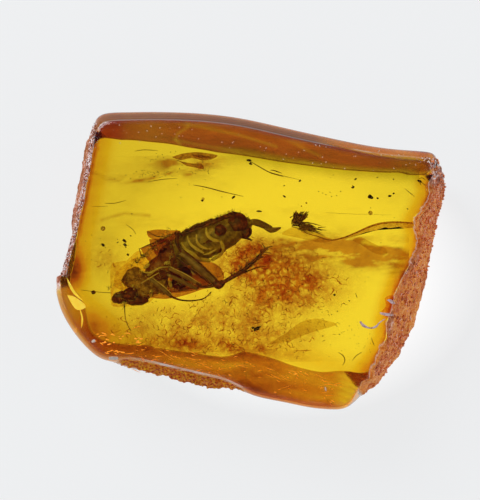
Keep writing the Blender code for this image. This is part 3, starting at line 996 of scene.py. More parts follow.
def make_insect():
    dark, brown, olive, green, grey, pale = (
        solid_material(name, colors, size, roughness)
        for name, colors, size, roughness in (
            ("chitin_dark", [(0.03, 0.004, 0.001), (0.15, 0.022, 0.005), (0.40, 0.10, 0.02)], 0.22, 0.3),
            ("chitin_brown", [(0.12, 0.018, 0.004), (0.34, 0.08, 0.015), (0.62, 0.25, 0.05)], 0.3, 0.35),
            ("chitin_olive", [(0.16, 0.06, 0.012), (0.52, 0.27, 0.06), (0.90, 0.58, 0.15)], 0.25, 0.35),
            ("abdomen_skin", [(0.10, 0.05, 0.01), (0.30, 0.18, 0.03), (0.58, 0.40, 0.07)], 0.3, 0.3),
            ("leg_skin", [(0.20, 0.09, 0.03), (0.42, 0.25, 0.08)], 0.3, 0.3),
            ("pale_skin", [(0.80, 0.60, 0.14), (1.0, 0.86, 0.30)], 0.2, 0.3),
        )
    )
    wing = film_material("wing_film", [(0.16, 0.02, 0.006), (0.45, 0.12, 0.03)], 0.3, 0.85, 6.0)
    hood = film_material("hood_film", [(0.58, 0.27, 0.08), (1.0, 0.78, 0.30)], 0.3, 0.94, 6.0)
    make_abdomen(dark, green, pale)
    make_front(dark, brown, olive, pale)
    make_legs(dark, grey, pale)
    make_wings(wing, hood, dark)
    make_feelers(dark, grey)
    make_bristles(dark, pale)


# ---------------------------------------------------------------- haze, cloud and fractures

def veil(name, low, high, height, mask, material, step=0.08):
    """A faint sheet in the resin, stained where the mask function says."""
    across = int((high[0] - low[0]) / step) + 1
    along = int((high[1] - low[1]) / step) + 1
    xs, ys = np.meshgrid(np.linspace(low[0], high[0], across), np.linspace(low[1], high[1], along))
    grid = np.stack([xs, ys, np.full_like(xs, height)], axis=-1)
    grid[..., 2] += 0.25 * fractal(grid, 3.0, 2, 9.0)
    values = mask(grid)
    faces = [
        (row * across + c, row * across + c + 1, (row + 1) * across + c + 1, (row + 1) * across + c)
        for row in range(along - 1)
        for c in range(across - 1)
        if values[row:row + 2, c:c + 2].max() > 0.01
    ]
    used = sorted({index for face in faces for index in face})
    place = {old: new for new, old in enumerate(used)}
    points = [tuple(grid.reshape(-1, 3)[index]) for index in used]
    mesh = new_mesh(name, points, [tuple(place[index] for index in face) for face in faces])
    set_mask(mesh, "haze", np.clip(values.ravel()[used], 0.0, 1.0))
    mesh.shade_smooth()
    return add_object(name, mesh, material)


def cloud_density(points):
    """How thick the brown fluff is around a point, 0 to 1."""
    fluff = sum_of_spots(points, [
        (1.1, (0.9, -0.4), (2.6, 1.5)), (0.6, (3.6, -1.5), (2.3, 1.4)), (0.6, (-0.6, 0.2), (1.6, 1.1)),
        (0.4, (1.0, -2.4), (3.0, 1.0)), (0.55, (-1.2, -3.8), (3.4, 1.3)), (0.45, (-6.0, -4.0), (3.4, 1.2)),
        (0.35, (2.0, -4.6), (2.6, 0.8)), (0.35, (-9.0, 0.0), (1.2, 1.2)),
    ])
    # A dark smear along the foot of the tail.
    smear = near(TAIL_FOOT, points, 1.0) * spot(points, (-1.8, -5.2), (5.8, 1.4))
    return np.clip(fluff + 0.68 * smear - 0.05, 0.0, 1.0)


def web(low, high, cell, seed):
    """The walls between cells scattered over a rectangle, as pairs of end points."""
    pick = random.Random(seed)
    centres = []
    y = low[1]
    while y < high[1]:
        x = low[0]
        while x < high[0]:
            across = x + pick.uniform(-0.45, 0.45) * cell
            along = y + pick.uniform(-0.45, 0.45) * cell
            centres.append(Vector((across, along)))
            x += cell
        y += cell
    places, _, triangles, *_ = geometry.delaunay_2d_cdt(centres, [], [], 0, 0.0001)
    sides = {}
    for triangle in triangles:
        middle = sum((places[index] for index in triangle), Vector((0.0, 0.0))) / 3
        for index in range(3):
            side = frozenset((triangle[index], triangle[(index + 1) % 3]))
            sides.setdefault(side, []).append(middle)
    return [ends for ends in sides.values() if len(ends) == 2]


def cloud_film(name, tint, cell, width):
    """A film stained along the walls of small cells, as thickly as its mask says."""
    nodes = Nodes(name)
    walls = nodes.cell_walls(cell, cell * 0.9, width)
    patches = nodes.noise(cell * 2.6, 3.0)
    lumps = nodes.maths("MULTIPLY_ADD", walls, 0.75, 0.25, clamp=False)
    strength = nodes.times(nodes.mask("haze"), nodes.times(lumps, patches, clamp=False))
    return nodes.film(nodes.mix(nodes.times(strength, 2.2), CLEAR, tint))


def make_cloud_web(pick):
    """Threads between the cells of two webs, a fine one and a coarse one."""
    threads = []
    for cell, seed, wide in ((0.34, 31, 0.013), (0.60, 32, 0.018)):
        for start, end in web((-10.0, -5.4), (6.5, 1.4), cell, seed):
            middle = (start + end) / 2
            density = float(cloud_density(np.array([(middle.x, middle.y, 0.0)]))[0])
            if pick.random() > density * 0.42 or density < 0.18:
                continue
            height = 2.9 + 0.6 * noise.noise(Vector((middle.x, middle.y, cell)) / 1.5)
            bend = Vector((pick.gauss(0.0, 0.12), pick.gauss(0.0, 0.12), pick.gauss(0.0, 0.15))) * cell
            path = [(*start, height), Vector((*middle, height)) + bend, (*end, height)]
            radius = wide * pick.uniform(0.6, 1.6)
            radii = (radius * 0.6, radius * pick.uniform(0.8, 1.8), radius * 0.5)
            threads.append(tube(path, radii, sides=6, steps=3))
    fluff = film_material("fluff", [(0.40, 0.13, 0.04), (0.70, 0.36, 0.10)], 0.5, 0.97)
    make_piece("cloud_web", threads, fluff)


def make_cloud_veils():
    """Three stained sheets, their cells finer towards the face."""
    def stained(seed):
        def mask(grid):
            patches = 0.80 + 0.8 * fractal(grid, 0.9, 5, seed)
            return cloud_density(grid) * np.clip(patches, 0.15, 1.2)
        return mask

    for number, (height, cell, width, tint) in enumerate((
        (1.6, 0.62, 0.30, (0.42, 0.095, 0.03)),
        (2.3, 0.42, 0.18, (0.42, 0.095, 0.03)),
        (3.1, 0.27, 0.12, (0.46, 0.110, 0.03)),
    )):
        film = cloud_film(f"cloud_film_{number}", tint, cell, width)
        veil(f"cloud_veil_{number}", (-10.2, -6.2), (7.0, 2.2), height, stained(6.0 + number), film)


def make_plant_hairs(pick):
    """Short fine hairs all through the fluff."""
    strands = []
    for _ in range(260):
        x, y = pick.gauss(-0.5, 3.6), pick.gauss(-3.0, 1.3)
        # A hair that would fall outside the fluff lies along the tail's foot instead.
        if not (-9.0 < x < 6.0 and -5.2 < y < 0.5):
            x = pick.uniform(-4.5, 3.5)
            y = -5.3 - 0.08 * x + pick.gauss(0.0, 0.25)
        angle = pick.uniform(0.0, 2 * math.pi)
        reach = pick.uniform(0.10, 0.32)
        way = Vector((math.cos(angle), math.sin(angle), pick.uniform(-0.4, 0.4))) * reach
        bend = Vector((-way.y, way.x, 0.0)) * pick.uniform(-0.5, 0.5)
        root = Vector((x, y, pick.uniform(2.6, 5.0)))
        path = [root, root + way * 0.5 + bend, root + way]
        strands.append(tube(path, (0.016, 0.014, 0.008), sides=5, steps=3))
    brown = film_material("hair_brown", [(0.16, 0.05, 0.02), (0.40, 0.16, 0.05)], 0.3, 0.9)
    make_piece("plant_hairs", strands, brown)


def make_cloud():
    """The brown fluff behind the insect."""
    pick = random.Random(5)
    make_cloud_web(pick)
    make_cloud_veils()
    make_plant_hairs(pick)


def make_veils():
    """Old flow layers and haze between them, and a film of painted olive shade along the head wall's foot.
    """
    flow_lines = [
        ([(-9.8, 5.4), (-8.8, 5.0), (-7.85, 4.8), (-6.6, 4.95), (-5.3, 5.15), (-3.8, 5.2)], 0.22),
        ([(-7.4, 6.75), (-6.6, 6.85), (-5.6, 6.75)], 0.18),
        ([(-5.3, 5.2), (-4.3, 5.6), (-3.2, 5.6)], 0.20),
        ([(-9.2, 2.5), (-7.8, 2.9), (-6.3, 2.75)], 0.18),
    ]

    def flow(grid):
        # Hazy resin under the arc of the fracture, and the dull layers at the upper left.
        layers = sum_of_spots(grid, [
            (1.5, (3.8, 0.8), (3.2, 0.9)), (1.4, (6.8, 0.4), (2.4, 0.8)), (0.5, (8.7, 0.6), (1.4, 0.8)),
            (0.7, (9.3, -0.8), (1.2, 0.7)), (1.1, (-4.2, 6.0), (2.4, 0.9)), (0.3, (-9.0, 1.3), (0.9, 0.6)),
            (0.3, (-6.8, 2.3), (2.6, 0.4)), (0.45, (-7.4, 5.0), (2.2, 0.3)), (0.5, (-7.8, 7.0), (2.4, 0.4)),
        ])
        layers += sum(0.5 * near(line, grid, width) for line, width in flow_lines)
        streaks = 0.8 + 1.1 * fractal(grid * np.array((0.45, 1.6, 1.0)), 0.8, 5, 12.0)
        mottle = 0.24 * ease(fractal(grid * np.array((0.5, 1.0, 1.0)), 1.6, 4, 21.0))
        return layers * np.clip(streaks, 0.15, 1.2) + mottle

    haze = film_material("flow_haze", [(0.20, 0.05, 0.03), (0.42, 0.15, 0.06)], 1.2, 1.0, masked=True)
    veil("flow_haze", (-9.8, -1.6), (9.6, 6.4), 3.4, flow, haze)

    def shadow(grid):
        # Olive shade where the head wall's foot meets the clear field, on the right.
        return near(HEAD_FOOT, grid, 0.8) * ease((grid[..., 0] + 4.0) / 4.0)

    shade = film_material("band_shade", [(0.42, 0.40, 0.10), (0.55, 0.52, 0.15)], 1.5, 1.0, masked=True)
    veil("band_shade", (-9.4, 4.2), (10.3, 7.4), 0.3, shadow, shade)


def make_fractures():
    """An arc across the right side, dull sheets and rusty flakes along old cracks."""
    brown = film_material("fracture_brown", [(0.22, 0.06, 0.02), (0.70, 0.42, 0.15)], 0.16, 0.95, 6.0)
    arc = flake(
        [(4.8, 1.28), (5.55, 1.45), (6.35, 1.75), (7.15, 2.1), (7.95, 2.3), (8.9, 2.35), (9.75, 2.3),
         (9.9, 2.05), (9.3, 1.95), (8.9, 2.05), (8.5, 1.9), (8.1, 2.05), (7.65, 1.85), (6.95, 1.75),
         (6.15, 1.45), (5.5, 1.3)],
        5.2, steps=4,
    )
    edge = tube(
        [(3.0, 1.75, 4.6), (3.9, 1.5, 4.8), (4.8, 1.25, 5.0), (5.55, 1.4, 5.2), (6.35, 1.72, 5.3),
         (7.15, 2.08, 5.3), (7.95, 2.3, 5.3), (8.9, 2.36, 5.3), (9.75, 2.3, 5.3)],
        (0.02, 0.03, 0.03, 0.04, 0.05, 0.06, 0.06, 0.06, 0.04),
    )
    make_piece("fracture_arc", [arc, edge], brown)
    dull = film_material("fracture_dull", [(0.50, 0.32, 0.10), (0.72, 0.52, 0.20)], 0.8, 1.0)
    sheets = [
        flake([(6.1, 1.2), (6.65, 0.95), (7.15, 0.62), (7.7, 0.38), (8.2, 0.40), (8.15, 0.75), (7.65, 0.92),
               (7.0, 1.25), (6.5, 1.45)], 4.9),
        flake([(0.9, -5.15), (2.2, -4.35), (2.9, -3.8), (3.8, -3.55), (4.6, -3.7), (5.2, -3.9),
               (4.5, -4.15), (3.5, -4.45), (2.2, -4.95)], 4.2, steps=2),
        flake([(2.4, 2.0), (3.3, 1.95), (4.3, 1.55), (4.9, 1.25), (4.2, 1.1), (3.0, 1.35), (1.8, 1.6)],
              4.7),
    ]
    make_piece("fracture_sheets", sheets, dull)
    rust = film_material("crack_rust", [(0.10, 0.018, 0.006), (0.50, 0.18, 0.04)], 0.16, 0.75, 6.0)
    flakes = [
        flake([(-4.9, 6.3), (-4.3, 6.5), (-3.45, 6.6), (-2.9, 6.55), (-2.1, 6.4), (-2.5, 6.15), (-3.1, 6.1),
               (-3.7, 6.25), (-4.4, 6.1)], 6.4, steps=2, slope=(0.1, 0.5)),
        flake([(-3.75, 6.45), (-3.2, 6.42), (-2.5, 6.3), (-2.8, 6.2), (-3.4, 6.3)], 6.5, steps=2),
        flake([(-4.9, 6.2), (-4.4, 6.0), (-4.0, 5.75), (-3.45, 5.65), (-2.95, 5.55), (-3.1, 5.9),
               (-3.6, 5.9), (-4.2, 6.0)], 6.2, steps=2),
    ]
    make_piece("crack_flakes", flakes, rust)


def make_grains(pick, dark):
    """Dark grains and specks, the larger ones placed one by one and the rest scattered."""
    placed = [
        (0.3, -4.15, 0.17), (0.05, -4.1, 0.10), (6.15, 4.45, 0.10), (7.2, 3.9, 0.14), (7.3, 3.85, 0.10),
        (7.65, 3.8, 0.07), (8.4, 3.95, 0.11), (8.65, 4.1, 0.06), (6.3, 4.95, 0.06), (8.65, 4.95, 0.05),
        (7.65, 5.05, 0.05), (1.95, 3.9, 0.09), (2.9, 4.85, 0.06), (1.95, 4.55, 0.05), (9.45, 3.15, 0.05),
        (-1.15, 3.85, 0.12), (-3.05, 3.65, 0.08), (-9.1, 0.95, 0.13), (-8.2, 1.1, 0.06), (-7.8, 1.2, 0.10),
        (-7.75, 0.95, 0.10), (-7.7, 0.8, 0.06), (-7.4, 1.5, 0.05), (-7.6, 0.35, 0.08), (-7.35, 2.85, 0.04),
        (5.0, -2.1, 0.07), (5.9, -2.45, 0.05), (-0.2, 6.1, 0.12), (-0.1, 5.9, 0.10), (4.6, -0.9, 0.06),
        (5.2, -3.1, 0.04), (4.3, -4.6, 0.05), (5.3, -4.5, 0.04),
    ]
    parts = []
    for x, y, radius in placed:
        size = (radius * pick.uniform(0.9, 1.5), radius * pick.uniform(0.5, 0.9), radius * 0.6)
        place = (x, y, pick.uniform(4.2, 6.8))
        parts.append(blob(place, size, pick.uniform(-40, 40), 0.5, sides=10, rings=7))
    for x, y in ((4.05, 4.2), (4.3, 4.1), (4.5, 4.0), (4.75, 4.15), (4.85, 3.9), (5.15, 3.95), (5.4, 4.2)):
        parts.append(blob((x, y, 5.5), (0.035, 0.03, 0.03), lumps=0.3, sides=8, rings=6))
    for _ in range(70):
        place = (pick.uniform(-9.0, 9.5), pick.uniform(-4.8, 5.2), pick.uniform(2.0, 7.0))
        parts.append(blob(place, [pick.uniform(0.015, 0.035)] * 3, sides=6, rings=5))
    for _ in range(40):
        x, y = pick.gauss(6.3, 0.9), pick.gauss(-4.9, 0.8)
        if x < 7.2:
            place = (x, y, pick.uniform(3.0, 7.0))
            parts.append(blob(place, [pick.uniform(0.015, 0.03)] * 3, sides=6, rings=5))
    for centre, spread, count in (
        ((-6.1, 5.3), (0.9, 0.16), 46), ((-3.0, 5.6), (0.5, 0.25), 26),
        ((-5.6, 6.3), (0.8, 0.3), 18), ((-9.0, 0.6), (0.8, 0.5), 16),
    ):
        for _ in range(count):
            x, y = pick.gauss(centre[0], spread[0]), pick.gauss(centre[1], spread[1])
            size = (pick.uniform(0.02, 0.05), pick.uniform(0.015, 0.03), 0.02)
            place = (x, y, pick.uniform(4.5, 6.5))
            parts.append(blob(place, size, pick.uniform(0, 180), 0.4, sides=6, rings=5))
    parts.append(tube([(0.25, 3.0, 5.5), (0.4, 3.0, 5.5), (0.58, 2.98, 5.5)], (0.03, 0.06, 0.03)))
    make_piece("grains", parts, dark)


def fibre(path, radius=0.018):
    return tube(path, (radius * 0.5, radius, radius, radius * 0.4), sides=6, steps=6)


def make_fibres(brown):
    lines = [
        fibre([(-3.6, 4.6, 5.5), (-2.8, 4.45, 5.5), (-1.85, 4.2, 5.6), (-0.55, 3.9, 5.7)], 0.03),
        fibre([(-9.0, 3.5, 5.0), (-8.4, 3.5, 5.1), (-7.7, 3.68, 5.2)], 0.02),
        fibre([(-0.15, 6.05, 6.0), (0.6, 5.6, 6.0), (1.2, 5.3, 6.0), (1.9, 5.1, 6.0)], 0.03),
        fibre([(0.7, 5.55, 6.0), (1.3, 5.3, 6.0), (2.9, 4.9, 6.0)], 0.015),
        fibre([(1.1, 5.5, 6.0), (1.4, 5.45, 6.0), (1.8, 5.3, 6.0)], 0.03),
        fibre([(5.25, -5.6, 5.5), (5.55, -5.8, 5.5), (5.65, -6.1, 5.5), (5.5, -6.4, 5.5)], 0.028),
        fibre([(6.1, -6.1, 5.5), (6.35, -5.8, 5.5), (6.7, -5.6, 5.5)], 0.02),
        fibre([(7.25, -4.7, 5.5), (7.35, -5.0, 5.5), (7.45, -5.2, 5.5)], 0.02),
        fibre([(9.3, 4.4, 5.5), (9.6, 4.15, 5.5), (9.9, 3.9, 5.5)], 0.02),
        fibre([(-7.7, 2.2, 5.0), (-7.3, 1.9, 5.0), (-7.1, 1.6, 5.0)], 0.018),
        fibre([(6.3, -2.0, 5.0), (6.4, -2.3, 5.0)], 0.02),
        fibre([(-6.4, 4.8, 4.0), (-5.6, 4.95, 4.0), (-4.6, 5.0, 4.0)], 0.02),
        fibre([(-9.8, 3.3, 5.0), (-9.3, 3.3, 5.0), (-8.8, 3.32, 5.0)], 0.012),
        fibre([(-7.2, 6.68, 4.0), (-6.6, 6.75, 4.0), (-5.8, 6.7, 4.0)], 0.02),
        fibre([(4.5, 2.9, 5.0), (6.0, 2.85, 5.0), (8.5, 2.8, 5.0)], 0.008),
    ]
    make_piece("fibres", lines, brown)


def make_plant_scrap(pick, brown):
    """A feathery scrap beside the insect's tail, with a tuft and longer strands."""
    strands = []
    for _ in range(60):
        root = Vector((pick.uniform(2.4, 3.0), pick.uniform(2.15, 2.45), 5.2 + pick.uniform(-0.15, 0.15)))
        tip = Vector((pick.uniform(2.5, 3.5), pick.uniform(2.6, 3.05), 5.2 + pick.uniform(-0.2, 0.2)))
        middle = (root + tip) / 2 + Vector((pick.uniform(-0.12, 0.12), pick.uniform(-0.1, 0.1), 0.0))
        strands.append(tube([root, middle, tip], (0.03, 0.05, 0.012), sides=6, steps=3))
    for _ in range(34):
        root = Vector((pick.uniform(2.4, 3.2), pick.uniform(1.9, 2.35), 5.1))
        tip = root + Vector((pick.uniform(0.6, 1.5), pick.uniform(-0.45, 0.0), 0.0))
        middle = (root + tip) / 2 + Vector((0.0, pick.uniform(0.0, 0.1), 0.0))
        strands.append(tube([root, middle, tip], (0.02, 0.032, 0.008), sides=6, steps=3))
    for start, end in (((4.0, 2.0), (4.5, 2.05)), ((4.0, 1.9), (4.55, 1.85)), ((2.3, 2.6), (2.55, 2.75))):
        strands.append(tube([(*start, 5.2), (*end, 5.2)], (0.04, 0.01), sides=6))
    make_piece("plant_scrap", strands, brown)


def make_small_arthropod(dark):
    """A tiny dark body with three legs, near the right corner."""
    parts = [
        blob((10.2, 4.85, 5.5), (0.14, 0.07, 0.07), -20, 0.4),
        fibre([(10.15, 4.95, 5.5), (10.35, 5.05, 5.5), (10.6, 4.9, 5.5)]),
        fibre([(10.3, 4.8, 5.5), (10.5, 4.65, 5.5), (10.6, 4.6, 5.5)]),
        fibre([(10.2, 4.8, 5.5), (10.3, 4.6, 5.5)]),
    ]
    make_piece("small_arthropod", parts, dark)


def make_bubbles():
    nodes = Nodes("bubble")
    color = nodes.ramp(nodes.noise(0.1), [(0.3, (0.30, 0.16, 0.04)), (0.7, (0.9, 0.8, 0.5))])
    nodes.set(Base_Color=color, Roughness=0.05, IOR=1.15, Transmission_Weight=0.8)
    placed = ((7.2, 2.9, 0.14), (-9.1, 1.95, 0.15), (-3.0, 3.75, 0.09), (3.3, 3.5, 0.06), (3.0, 3.3, 0.05))
    parts = [blob((x, y, 6.2), (radius,) * 3, sides=14, rings=9) for x, y, radius in placed]
    make_piece("bubbles", parts, nodes.material)


def make_debris():
    """Grains, fibres, bubbles and plant scraps."""
    pick = random.Random(77)
    dark = solid_material("grain_dark", [(0.03, 0.012, 0.004), (0.12, 0.05, 0.015)], 0.1, 0.4)
    brown = solid_material("scrap_brown", [(0.14, 0.05, 0.012), (0.34, 0.15, 0.04)], 0.15, 0.45)
    make_grains(pick, dark)
    make_fibres(brown)
    make_plant_scrap(pick, brown)
    make_small_arthropod(dark)
    make_bubbles()


# ---------------------------------------------------------------- on and under the resin's surface

def skin_height(surface, x, y):
    """Height of the resin's upper surface at a place, or BESIDE where the resin isn't under it."""
    hit = surface.ray_cast(Vector((x, y, 20.0)), DOWN)[0]
    return hit.z if hit else BESIDE


def on_skin(surface, x, y, depth=0.0):
    return (x, y, skin_height(surface, x, y) - depth)


def under_skin(surface, outline, depth, thickness=0.0):
    """A flake lying a little way under the resin's curved surface."""
    points, faces = flake(outline, 0.0, thickness)
    for point in points:
        point.z += skin_height(surface, point.x, point.y) - depth
    return points, faces


def make_glints(surface):
    """Painted glints: small orange pieces along the corner and the tail that glow faintly, and
    glowing orange streaks just under the tail's surface.
    """
    pick = random.Random(8)
    places = [(4.9, -8.55), (4.75, -8.6), (1.4, -8.0), (2.3, -8.05), (2.95, -6.75), (2.6, -6.9), (3.3, -6.9)]
    places += [(pick.uniform(-8.9, -7.3), pick.uniform(-5.7, -5.45)) for _ in range(16)]
    places += [(pick.uniform(-9.6, -6.6), pick.uniform(-5.1, -4.4)) for _ in range(24)]
    glints = []
    for x, y in places:
        size = (pick.uniform(0.03, 0.16), pick.uniform(0.015, 0.045), 0.02)
        glints.append(blob(on_skin(surface, x, y, 0.01), size, pick.uniform(-35, 15), 0.6, sides=8, rings=6))
    for _ in range(130):
        x = pick.uniform(-7.5, 5.4)
        middle = float(np.interp(x, (-7.5, -4.0, 0.0, 5.4), (-5.6, -6.0, -6.7, -7.8)))
        y = middle + pick.gauss(0.0, 0.42)
        reach = pick.choice((0.05, 0.08, 0.12, 0.30))
        rise = Vector((reach, -0.16 * reach + pick.uniform(-0.5, 0.5) * reach, 0.0))
        centre = Vector(on_skin(surface, x, y, pick.uniform(0.08, 0.5)))
        bend = Vector((0.0, pick.uniform(-0.03, 0.03), 0.0))
        radii = (0.004, pick.uniform(0.012, 0.032), 0.004)
        glints.append(tube([centre - rise, centre + bend, centre + rise], radii, sides=6, steps=3))
    orange = [(0.75, 0.16, 0.01), (1.0, 0.42, 0.02)]
    # Painted highlight: the glints and streaks glow faintly orange.
    glow = solid_material("glint_orange", orange, 0.2, 0.3, glow=((1.0, 0.35, 0.02), 0.45))
    make_piece("glints", glints, glow)


def make_corner_cracks(surface):
    """Cracks under the corner's brown skin, painted bright yellow and glowing faintly in place of
    the light they reflect.
    """
    shards = [
        ([(-11.25, -2.1), (-10.8, -2.2), (-10.2, -2.65), (-10.2, -2.9), (-10.65, -3.0), (-11.0, -2.6)],
         0.12),
        ([(-11.3, -1.0), (-11.0, -1.5), (-10.75, -1.95), (-10.3, -2.45), (-10.85, -2.05),
          (-11.15, -1.55)], 0.5),
        ([(-10.5, -3.0), (-10.42, -3.05), (-10.28, -3.6), (-10.4, -4.1), (-10.36, -3.6)], 0.4),
        ([(-10.85, -4.05), (-10.68, -4.08), (-10.6, -4.32), (-10.8, -4.4)], 0.2),
    ]
    gold = [(0.90, 0.62, 0.04), (1.0, 0.85, 0.16)]
    # Painted reflection: the cracks glow faintly yellow.
    yellow = solid_material("crack_reflection_glow", gold, 0.4, 0.3, glow=((1.0, 0.70, 0.06), 0.5))
    cracks = [under_skin(surface, outline, depth) for outline, depth in shards]
    make_piece("corner_cracks", cracks, yellow)


def make_flank_crumbs(surface, pick):
    """Coarse ruddy crumbs on the upper part of the broken flank."""
    flank = smooth_path([(x, y, 0.0) for x, y in FLANK_EDGE], 12)
    crumbs = []
    for _ in range(520):
        along = pick.choice(flank)
        x, y = along.x + pick.uniform(0.05, 1.5), along.y + pick.uniform(-0.3, 0.15)
        height = skin_height(surface, x, y)
        if height == BESIDE or height > 7.7:
            continue
        size = (pick.uniform(0.05, 0.15), pick.uniform(0.04, 0.11), pick.uniform(0.05, 0.18))
        crumbs.append(blob((x, y, height), size, pick.uniform(0, 180), 0.8, sides=8, rings=6))
    tints = [(0.45, 0.06, 0.025), (0.95, 0.30, 0.07), (1.0, 0.68, 0.56)]
    ruddy = solid_material("crumb_ruddy", tints, 0.3, 0.6)
    make_piece("crumbs_ruddy", crumbs, ruddy, smooth=False)


def make_edge_crumbs(surface, pick):
    """Chalky crumbs along the left edge and at the right corner, with dark crumbs between them as
    painted shade.
    """
    edge = smooth_path([(x, y, 0.0) for x, y in SIDE_EDGE], 30)
    corner = smooth_path([(10.3, 6.2, 0.0), (10.9, 5.9, 0.0), (11.2, 5.2, 0.0)], 20)
    pale, shadows = [], []
    for _ in range(620):
        along = pick.choice(edge) if pick.random() < 0.88 else pick.choice(corner)
        away = pick.uniform(-0.02, 0.40) * (-1.0 if along.x < 0.0 else 1.0)
        x, y = along.x + away, along.y + pick.uniform(-0.15, 0.15)
        place = (x, y, min(skin_height(surface, x, y), 7.8))
        size = (pick.uniform(0.02, 0.075), pick.uniform(0.015, 0.05), pick.uniform(0.03, 0.10))
        crumb = blob(place, size, pick.uniform(40, 120), 0.8, sides=8, rings=6)
        (pale if pick.random() < 0.6 else shadows).append(crumb)
    chalk = [(0.62, 0.34, 0.30), (0.95, 0.84, 0.83), (1.0, 0.98, 1.0)]
    white = solid_material("crumb_white", chalk, 0.12, 0.5)
    # Painted shade: the dark crumbs stand for the shadows between the chalky ones.
    dark = solid_material("crumb_painted_shade", [(0.10, 0.012, 0.006), (0.40, 0.09, 0.03)], 0.12, 0.4)
    make_piece("crumbs_pale", pale, white, smooth=False)
    make_piece("crumbs_painted_shade", shadows, dark, smooth=False)


def make_crumbs(surface):
    """Loose grain on the broken sides."""
    pick = random.Random(41)
    make_flank_crumbs(surface, pick)
    make_edge_crumbs(surface, pick)


def make_crack(surface):
    """Chips along a crack that runs in from the flank, and the red stain around it."""
    chips = [
        [(7.75, -3.15), (8.25, -3.2), (8.75, -3.3), (8.6, -3.38), (8.15, -3.36), (7.8, -3.26)],
        [(8.15, -2.4), (8.4, -2.35), (8.7, -2.6), (8.5, -2.64), (8.3, -2.5)],
    ]
    sliver = [(6.55, -3.70), (6.75, -3.95), (7.15, -4.10), (7.5, -4.02), (7.72, -3.78), (8.05, -3.55)]
    stain = [
        (8.05, -2.3), (8.4, -2.1), (9.1, -2.3), (9.2, -3.1), (8.7, -3.5), (8.1, -3.4), (7.8, -3.15),
        (8.1, -2.8),
    ]
    parts = [under_skin(surface, outline, -0.01, 0.04) for outline in chips]
    path = [on_skin(surface, x, y) for x, y in sliver]
    parts.append(tube(path, (0.05, 0.09, 0.04, 0.07, 0.03, 0.02), flat=0.4))
    tints = [(0.40, 0.16, 0.12), (0.62, 0.46, 0.50), (0.75, 0.60, 0.62)]
    lavender = solid_material("chip_lavender", tints, 0.2, 0.4)
    make_piece("crack_chips", parts, lavender, smooth=False)
    rust = film_material("crack_red", [(0.62, 0.08, 0.02), (0.95, 0.50, 0.10)], 0.2, 0.97)
    make_piece("crack_stain", [under_skin(surface, stain, 0.5)], rust)


def make_dust(surface):
    """Pale dust specks on the polished head band, two pale specks by the lower edge, and a painted
    highlight: a pale block on the lower edge.
    """
    pick = random.Random(3)
    specks = []
    for _ in range(60):
        x = pick.uniform(-9.3, 10.0)
        band = float(np.interp(x, (-9.9, -2.9, 5.1, 11.2), (7.9, 7.6, 6.3, 5.8)))
        y = band + pick.uniform(-0.7, 0.6)
        width = pick.uniform(0.012, 0.03)
        size = (width * pick.uniform(1.0, 2.5), width, 0.01)
        specks.append(blob(on_skin(surface, x, y), size, pick.uniform(0, 180), sides=6, rings=4))
    specks.append(blob(on_skin(surface, -9.65, -4.9), (0.13, 0.09, 0.03), 20, 0.4))
    specks.append(blob(on_skin(surface, 4.45, -7.8), (0.05, 0.13, 0.02), 10, 0.3))
    # Painted highlight: a pale block on the polished lower edge, standing in for a lamp's reflection.
    edge_highlight = [(-8.7, -5.85), (-8.2, -5.85), (-8.2, -6.02), (-8.7, -6.02)]
    specks.append(under_skin(surface, edge_highlight, -0.01, 0.03))
    pale = solid_material("dust_and_highlight_pale", [(0.55, 0.42, 0.34), (0.85, 0.78, 0.72)], 0.1, 0.6)
    make_piece("surface_dust_and_highlight", specks, pale)


# ---------------------------------------------------------------- floor, light and camera

def make_floor():
    """A wide light pad, brightest right under the amber and even outside it."""
    half_width = 3000.0
    corners = [(x * half_width, y * half_width, 0.0) for x, y in ((-1, -1), (1, -1), (1, 1), (-1, 1))]
    mesh = new_mesh("floor", corners, [(0, 1, 2, 3)])
    floor = bpy.data.objects.new("floor", mesh)
    floor.location.z = -0.02 * MM  # just clear of the amber's foot
    bpy.context.scene.collection.objects.link(floor)
    nodes = Nodes("floor_pale")
    centre, reach = (2.5 * MM, -1.0 * MM, 0.0), (12.0 * MM, 9.0 * MM, 1.0)
    mapping = nodes.new("Mapping", Vector=nodes.place, Location=centre, Scale=reach)
    mapping.vector_type = "TEXTURE"
    pad = nodes.new("TexGradient", Vector=mapping.outputs["Vector"])
    pad.gradient_type = "SPHERICAL"
    even, extra = 0.79, 0.20
    glow = nodes.maths("MULTIPLY_ADD", nodes.times(pad.outputs["Fac"], 2.5), extra, even, clamp=False)
    nodes.set(
        Base_Color=(0.12, 0.12, 0.125, 1.0),
        Roughness=0.9,
        Specular_IOR_Level=0.0,
        Emission_Color=(0.975, 0.99, 1.0, 1.0),
        Emission_Strength=glow,
    )
    mesh.materials.append(nodes.material)


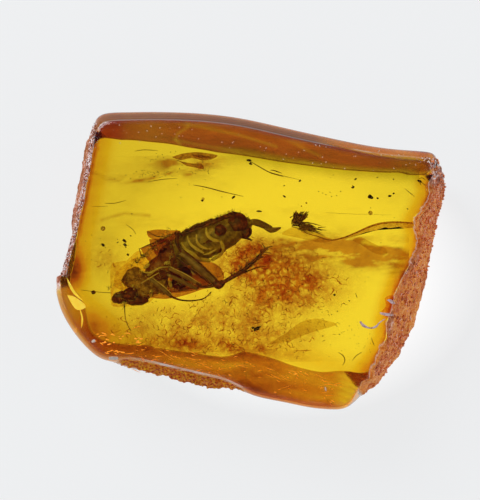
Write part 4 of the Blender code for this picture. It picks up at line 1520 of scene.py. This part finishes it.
def make_world():
    """A soft studio: dim overhead, bright low down all around."""
    world = bpy.data.worlds.new("studio")
    bpy.context.scene.world = world
    world.use_nodes = True
    tree = world.node_tree
    background = tree.nodes["Background"]
    place = tree.nodes.new("ShaderNodeTexCoord")
    split = tree.nodes.new("ShaderNodeSeparateXYZ")
    ramp = tree.nodes.new("ShaderNodeValToRGB")
    tree.links.new(place.outputs["Generated"], split.inputs["Vector"])
    tree.links.new(split.outputs["Z"], ramp.inputs["Fac"])
    tree.links.new(ramp.outputs["Color"], background.inputs["Color"])
    background.inputs["Strength"].default_value = 1.0
    elements = ramp.color_ramp.elements
    elements[0].position, elements[0].color = 0.05, (0.80, 0.82, 0.86, 1.0)
    elements[1].position, elements[1].color = 1.0, (0.05, 0.05, 0.05, 1.0)
    elements.new(0.12).color = (0.20, 0.20, 0.22, 1.0)
    elements.new(0.75).color = (0.24, 0.24, 0.25, 1.0)


def make_softbox(name, place, width, height, brightness):
    """A soft rectangular light aimed at the piece; places and sizes are in metres."""
    data = bpy.data.lights.new(name, "AREA")
    data.shape = "RECTANGLE"
    data.size = width
    data.size_y = height
    data.energy = brightness * math.pi * width * height
    light = bpy.data.objects.new(name, data)
    light.location = place
    aim = Vector((0.0, 0.0, THICKNESS / 2 * MM)) - Vector(place)
    light.rotation_euler = aim.to_track_quat("-Z", "Y").to_euler()
    bpy.context.scene.collection.objects.link(light)


def make_lights():
    make_softbox("key", (-0.16, 0.18, 0.26), 0.20, 0.20, 5.0)
    make_softbox("left", (-0.42, -0.02, 0.16), 0.30, 0.16, 2.2)
    make_softbox("right", (0.42, -0.06, 0.20), 0.30, 0.20, 2.6)
    make_softbox("behind", (0.0, 0.50, 0.14), 0.70, 0.14, 0.9)


def make_camera():
    """Straight above the piece, far enough away to look nearly flat on."""
    distance = 250.0
    width_seen = 29.62
    data = bpy.data.cameras.new("camera")
    data.sensor_fit = "HORIZONTAL"
    data.sensor_width = 36.0
    data.lens = data.sensor_width * distance / width_seen
    data.clip_start = 0.01
    data.clip_end = 10.0
    camera = bpy.data.objects.new("camera", data)
    camera.location = (-0.75 * MM, 0.64 * MM, (distance + THICKNESS / 2) * MM)
    bpy.context.scene.collection.objects.link(camera)
    bpy.context.scene.camera = camera


make_camera()
surface = make_amber()
make_insect()
make_cloud()
make_veils()
make_fractures()
make_debris()
make_glints(surface)
make_corner_cracks(surface)
make_crumbs(surface)
make_crack(surface)
make_dust(surface)
make_floor()
make_world()
make_lights()
bpy.context.scene.view_settings.view_transform = "Standard"
